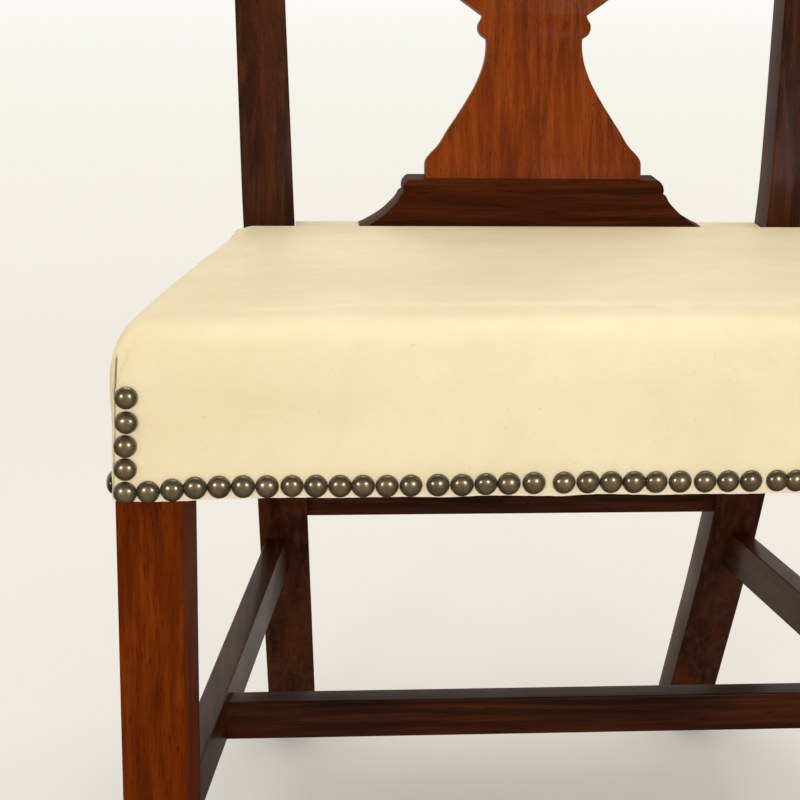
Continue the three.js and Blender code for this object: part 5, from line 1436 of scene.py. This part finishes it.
def beech(name, grain, seed):
    look = new_look(name)
    wood = along_grain(look, grain, (seed * 0.31, seed * 0.17, 0))
    rings = look.noise(look.stretched(wood, (1, 1, 0.05)), 120.0, 3.0, 0.6)
    flecks = look.noise(look.stretched(wood, (1, 1, 0.12)), 1400.0, 1.0, 0.5)
    saw = look.noise(look.stretched(wood, (0.1, 0.1, 1)), 500.0, 2.0, 0.5)
    colour = look.tinted((0.45, 0.29, 0.15), rings, 0.35, 0.7, 1.0, (0.62, 0.44, 0.26))
    colour = look.tinted(colour, flecks, 0.6, 0.72, 0.5, (0.3, 0.17, 0.08))
    return look.dress({"Base Color": colour, "Roughness": 0.7,
                       "Normal": look.bump(saw, 0.2, 0.0003)})


def steel_material():
    look = new_look("steel")
    spots = look.noise(look.space(), 900.0, 4.0, 0.6)
    colour = look.tinted((0.5, 0.5, 0.49), spots, 0.45, 0.7, 1.0, (0.3, 0.27, 0.24))
    return look.dress({"Base Color": colour, "Metallic": 1.0,
                       "Roughness": look.between(spots, 0.3, 0.7, 0.25, 0.45)})


def woven(name, thread_mm, light, dark, roughness=0.9):
    """A plain weave: two sets of threads that pass over and under each other."""
    look = new_look(name)
    cloth = look.space()
    parts = look.add("ShaderNodeSeparateXYZ", {0: cloth})
    warp, weft = (
        look.maths("SINE", look.times(parts.outputs[axis], math.pi / thread_mm / MM))
        for axis in "XY")
    cross = look.times(warp, weft)
    slub = look.noise(cloth, 420.0, 3.0, 0.6)
    colour = look.tinted(dark, cross, -0.8, 0.8, 1.0, light)
    colour = look.tinted(colour, slub, 0.4, 0.75, 0.5, darker(dark, 0.6))
    return look.dress({"Base Color": colour, "Roughness": roughness,
                       "Normal": look.bump(cross, 0.6, thread_mm * MM * 0.3)})


def give(start, material):
    """Gives the CAD nodes of a name, which stay as they are, their real material."""
    for name, node in nodes.items():
        if name.startswith(start):
            node.data.materials.clear()
            node.data.materials.append(material)


steel = steel_material()
beech_across = beech("beech_across", ALONG_X, 1)
give("front_rail", beech_across)
give("rear_rail", beech_across)
give("corner_block", beech_across)
give("side_rail", beech("beech_along", ALONG_Y, 2))
give("block_screw", steel)
give("seat_web", woven("jute_webbing", 2.2, (0.55, 0.42, 0.25), (0.33, 0.23, 0.12)))


# ---------------------------------------------------------------------------
# Glides: domed steel buttons pinned into the feet.

GLIDE_RADIUS = 10.0
GLIDE_HEIGHT = 4.0
GLIDE_EDGE = 1.5
GLIDE_ROWS = [
    (0.0, GLIDE_RADIUS - GLIDE_EDGE), (0.2, GLIDE_RADIUS - GLIDE_EDGE * 0.45),
    (0.6, GLIDE_RADIUS - GLIDE_EDGE * 0.15), (GLIDE_EDGE, GLIDE_RADIUS),
    (GLIDE_HEIGHT, GLIDE_RADIUS), (GLIDE_HEIGHT + 0.3, GLIDE_RADIUS - 0.3),
]

for end in ("front", "rear"):
    for side in ("right", "left"):
        node = f"glide_{end}_{side}"
        low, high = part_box(node)
        x, y, _ = measured((low + high) / 2)
        rings = [[(x + s, y + t, z) for s, t in circle(radius, 40)] for z, radius in GLIDE_ROWS]
        stand_for(skin(node + "_steel", rings, steel, 40.0), node)


# ---------------------------------------------------------------------------
# Cloths: the hessian over the webs and the black cloth tacked under the frame.


def cloth_sheet(node, material, sag, spacing):
    """A thin sheet in the space of a CAD one, with its own outline, sagging a little."""
    shape = bmesh.new()
    shape.from_mesh(nodes[node].data)
    bmesh.ops.remove_doubles(shape, verts=shape.verts, dist=1e-6)
    low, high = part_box(node)
    size = high - low
    for axis, normal in enumerate((Vector((1, 0, 0)), Vector((0, 1, 0)))):
        count = int(size[axis] / (spacing * MM))
        for i in range(1, count):
            bmesh.ops.bisect_plane(
                shape, geom=shape.verts[:] + shape.edges[:] + shape.faces[:],
                plane_co=normal * mix(low[axis], high[axis], i / count), plane_no=normal)
    for vertex in shape.verts:
        x, y, _ = vertex.co
        belly = (math.sin(math.pi * clamp((x - low.x) / size.x))
                 * math.sin(math.pi * clamp((y - low.y) / size.y)))
        ripple = noise.noise(Vector((x * 18, y * 18, 1.5)))
        vertex.co.z += sag * MM * (belly + 0.25 * ripple * belly)
    mesh = bpy.data.meshes.new(node + "_cloth")
    shape.to_mesh(mesh)
    shape.free()
    mesh.materials.append(material)
    finish_mesh(mesh, 50.0)
    piece = new_object(node + "_cloth", mesh)
    stand_for(piece, node)


hessian = woven("hessian", 1.3, (0.5, 0.39, 0.24), (0.28, 0.2, 0.11))
cloth_sheet("hessian_layer", hessian, 0.0, 12.0)
cambric = woven("dust_cloth", 0.9, (0.035, 0.034, 0.033), (0.012, 0.012, 0.012), 0.85)
cloth_sheet("dust_cover", cambric, -2.5, 7.0)


# ---------------------------------------------------------------------------
# Floor, lamps and surroundings: a plain pale floor, two soft lamps beside the camera and
# pale light all round.

FLOOR_REACH = 30.0
DIM_FLOOR = (0.07, 0.06, 0.045, 1)
WARM_LIGHT = (1.0, 0.965, 0.9)
TOP_LIGHT = (1.0, 0.975, 0.93)
SOFT_LIGHT = 0.79


def floor_material():
    look = new_look("floor")
    spot = look.space()
    shader = look.nodes["Principled BSDF"]
    look.dress({"Roughness": 0.85, "Base Color": look.blend(
        look.noise(spot, 3.0), (0.89, 0.875, 0.84), (0.92, 0.905, 0.87))})
    rays = look.add("ShaderNodeLightPath").outputs
    # The lacquer mirrors a dimmer floor, as it does beside a dark carpet or a black card.
    dim = look.add("ShaderNodeBsdfDiffuse", {"Color": DIM_FLOOR}).outputs["BSDF"]
    back = look.add("ShaderNodeSeparateXYZ", {0: spot}).outputs["Y"]
    before_chair = look.between(back, 0.5, -0.1, 0.35, 1.0)
    near = look.mixed(look.times(rays["Is Glossy Ray"], before_chair),
                      shader.outputs["BSDF"], dim)
    # Away from the chair the floor pales into the white background, to the camera alone.
    away = look.vector("LENGTH", {0: spot}, "Value")
    far = look.add("ShaderNodeEmission", {"Color": look.blend(
        look.between(away, 3.0, 14.0), (0.9, 0.87, 0.79), (1, 1, 1))}).outputs["Emission"]
    paled = look.times(rays["Is Camera Ray"], look.between(away, 0.8, 2.4))
    look.links.new(look.mixed(paled, near, far), look.nodes["Material Output"].inputs["Surface"])
    return look.owner


floor_mesh = bpy.data.meshes.new("floor")
floor_mesh.from_pydata([
    (FLOOR_REACH * x, FLOOR_REACH * y, 0) for x, y in ((-1, -1), (1, -1), (1, 1), (-1, 1))
], [], [(0, 1, 2, 3)])
floor_mesh.materials.append(floor_material())
new_object("floor", floor_mesh)


def lamp(name, where, target, width, power, colour):
    data = bpy.data.lights.new(name, "AREA")
    data.shape = "DISK"
    data.size = width
    data.energy = power
    data.color = colour
    light = new_object(name, data)
    light.location = where
    light.rotation_euler = (Vector(target) - Vector(where)).to_track_quat("-Z", "Y").to_euler()


lamp("lamp_left", (-1.3, -2.2, 0.62), (0, -0.1, 0.45), 0.58, 7, WARM_LIGHT)
lamp("lamp_right", (0.62, -2.3, 0.62), (0, -0.1, 0.45), 0.58, 6.5, WARM_LIGHT)
lamp("lamp_top", (0.0, 0.1, 2.4), (0, 0, 0.4), 1.6, 15, TOP_LIGHT)

# The room is pale behind the chair and dim behind the camera, which the lacquer mirrors.
world = bpy.data.worlds.new("surroundings")
bpy.context.scene.world = world
world.use_nodes = True
room = Look(world)


def light_all_round(node, colour, strength):
    room.feed(node.inputs["Color"], (*colour, 1))
    room.feed(node.inputs["Strength"], strength)
    return node.outputs["Background"]


facing = room.add("ShaderNodeTexCoord").outputs["Generated"]
depth = room.add("ShaderNodeSeparateXYZ", {0: facing}).outputs["Y"]
soft = light_all_round(room.nodes["Background"], WARM_LIGHT, SOFT_LIGHT)
mirrored = light_all_round(room.add("ShaderNodeBackground"), WARM_LIGHT,
                           room.between(depth, -0.5, 0.6, 0.05, 0.8))
seen = light_all_round(room.add("ShaderNodeBackground"), (1, 1, 1), 1.0)
rays = room.add("ShaderNodeLightPath").outputs
lighting = room.mixed(rays["Is Glossy Ray"], soft, mirrored)
room.links.new(room.mixed(rays["Is Camera Ray"], lighting, seen),
               room.nodes["World Output"].inputs["Surface"])

bpy.context.scene.view_settings.view_transform = "Standard"
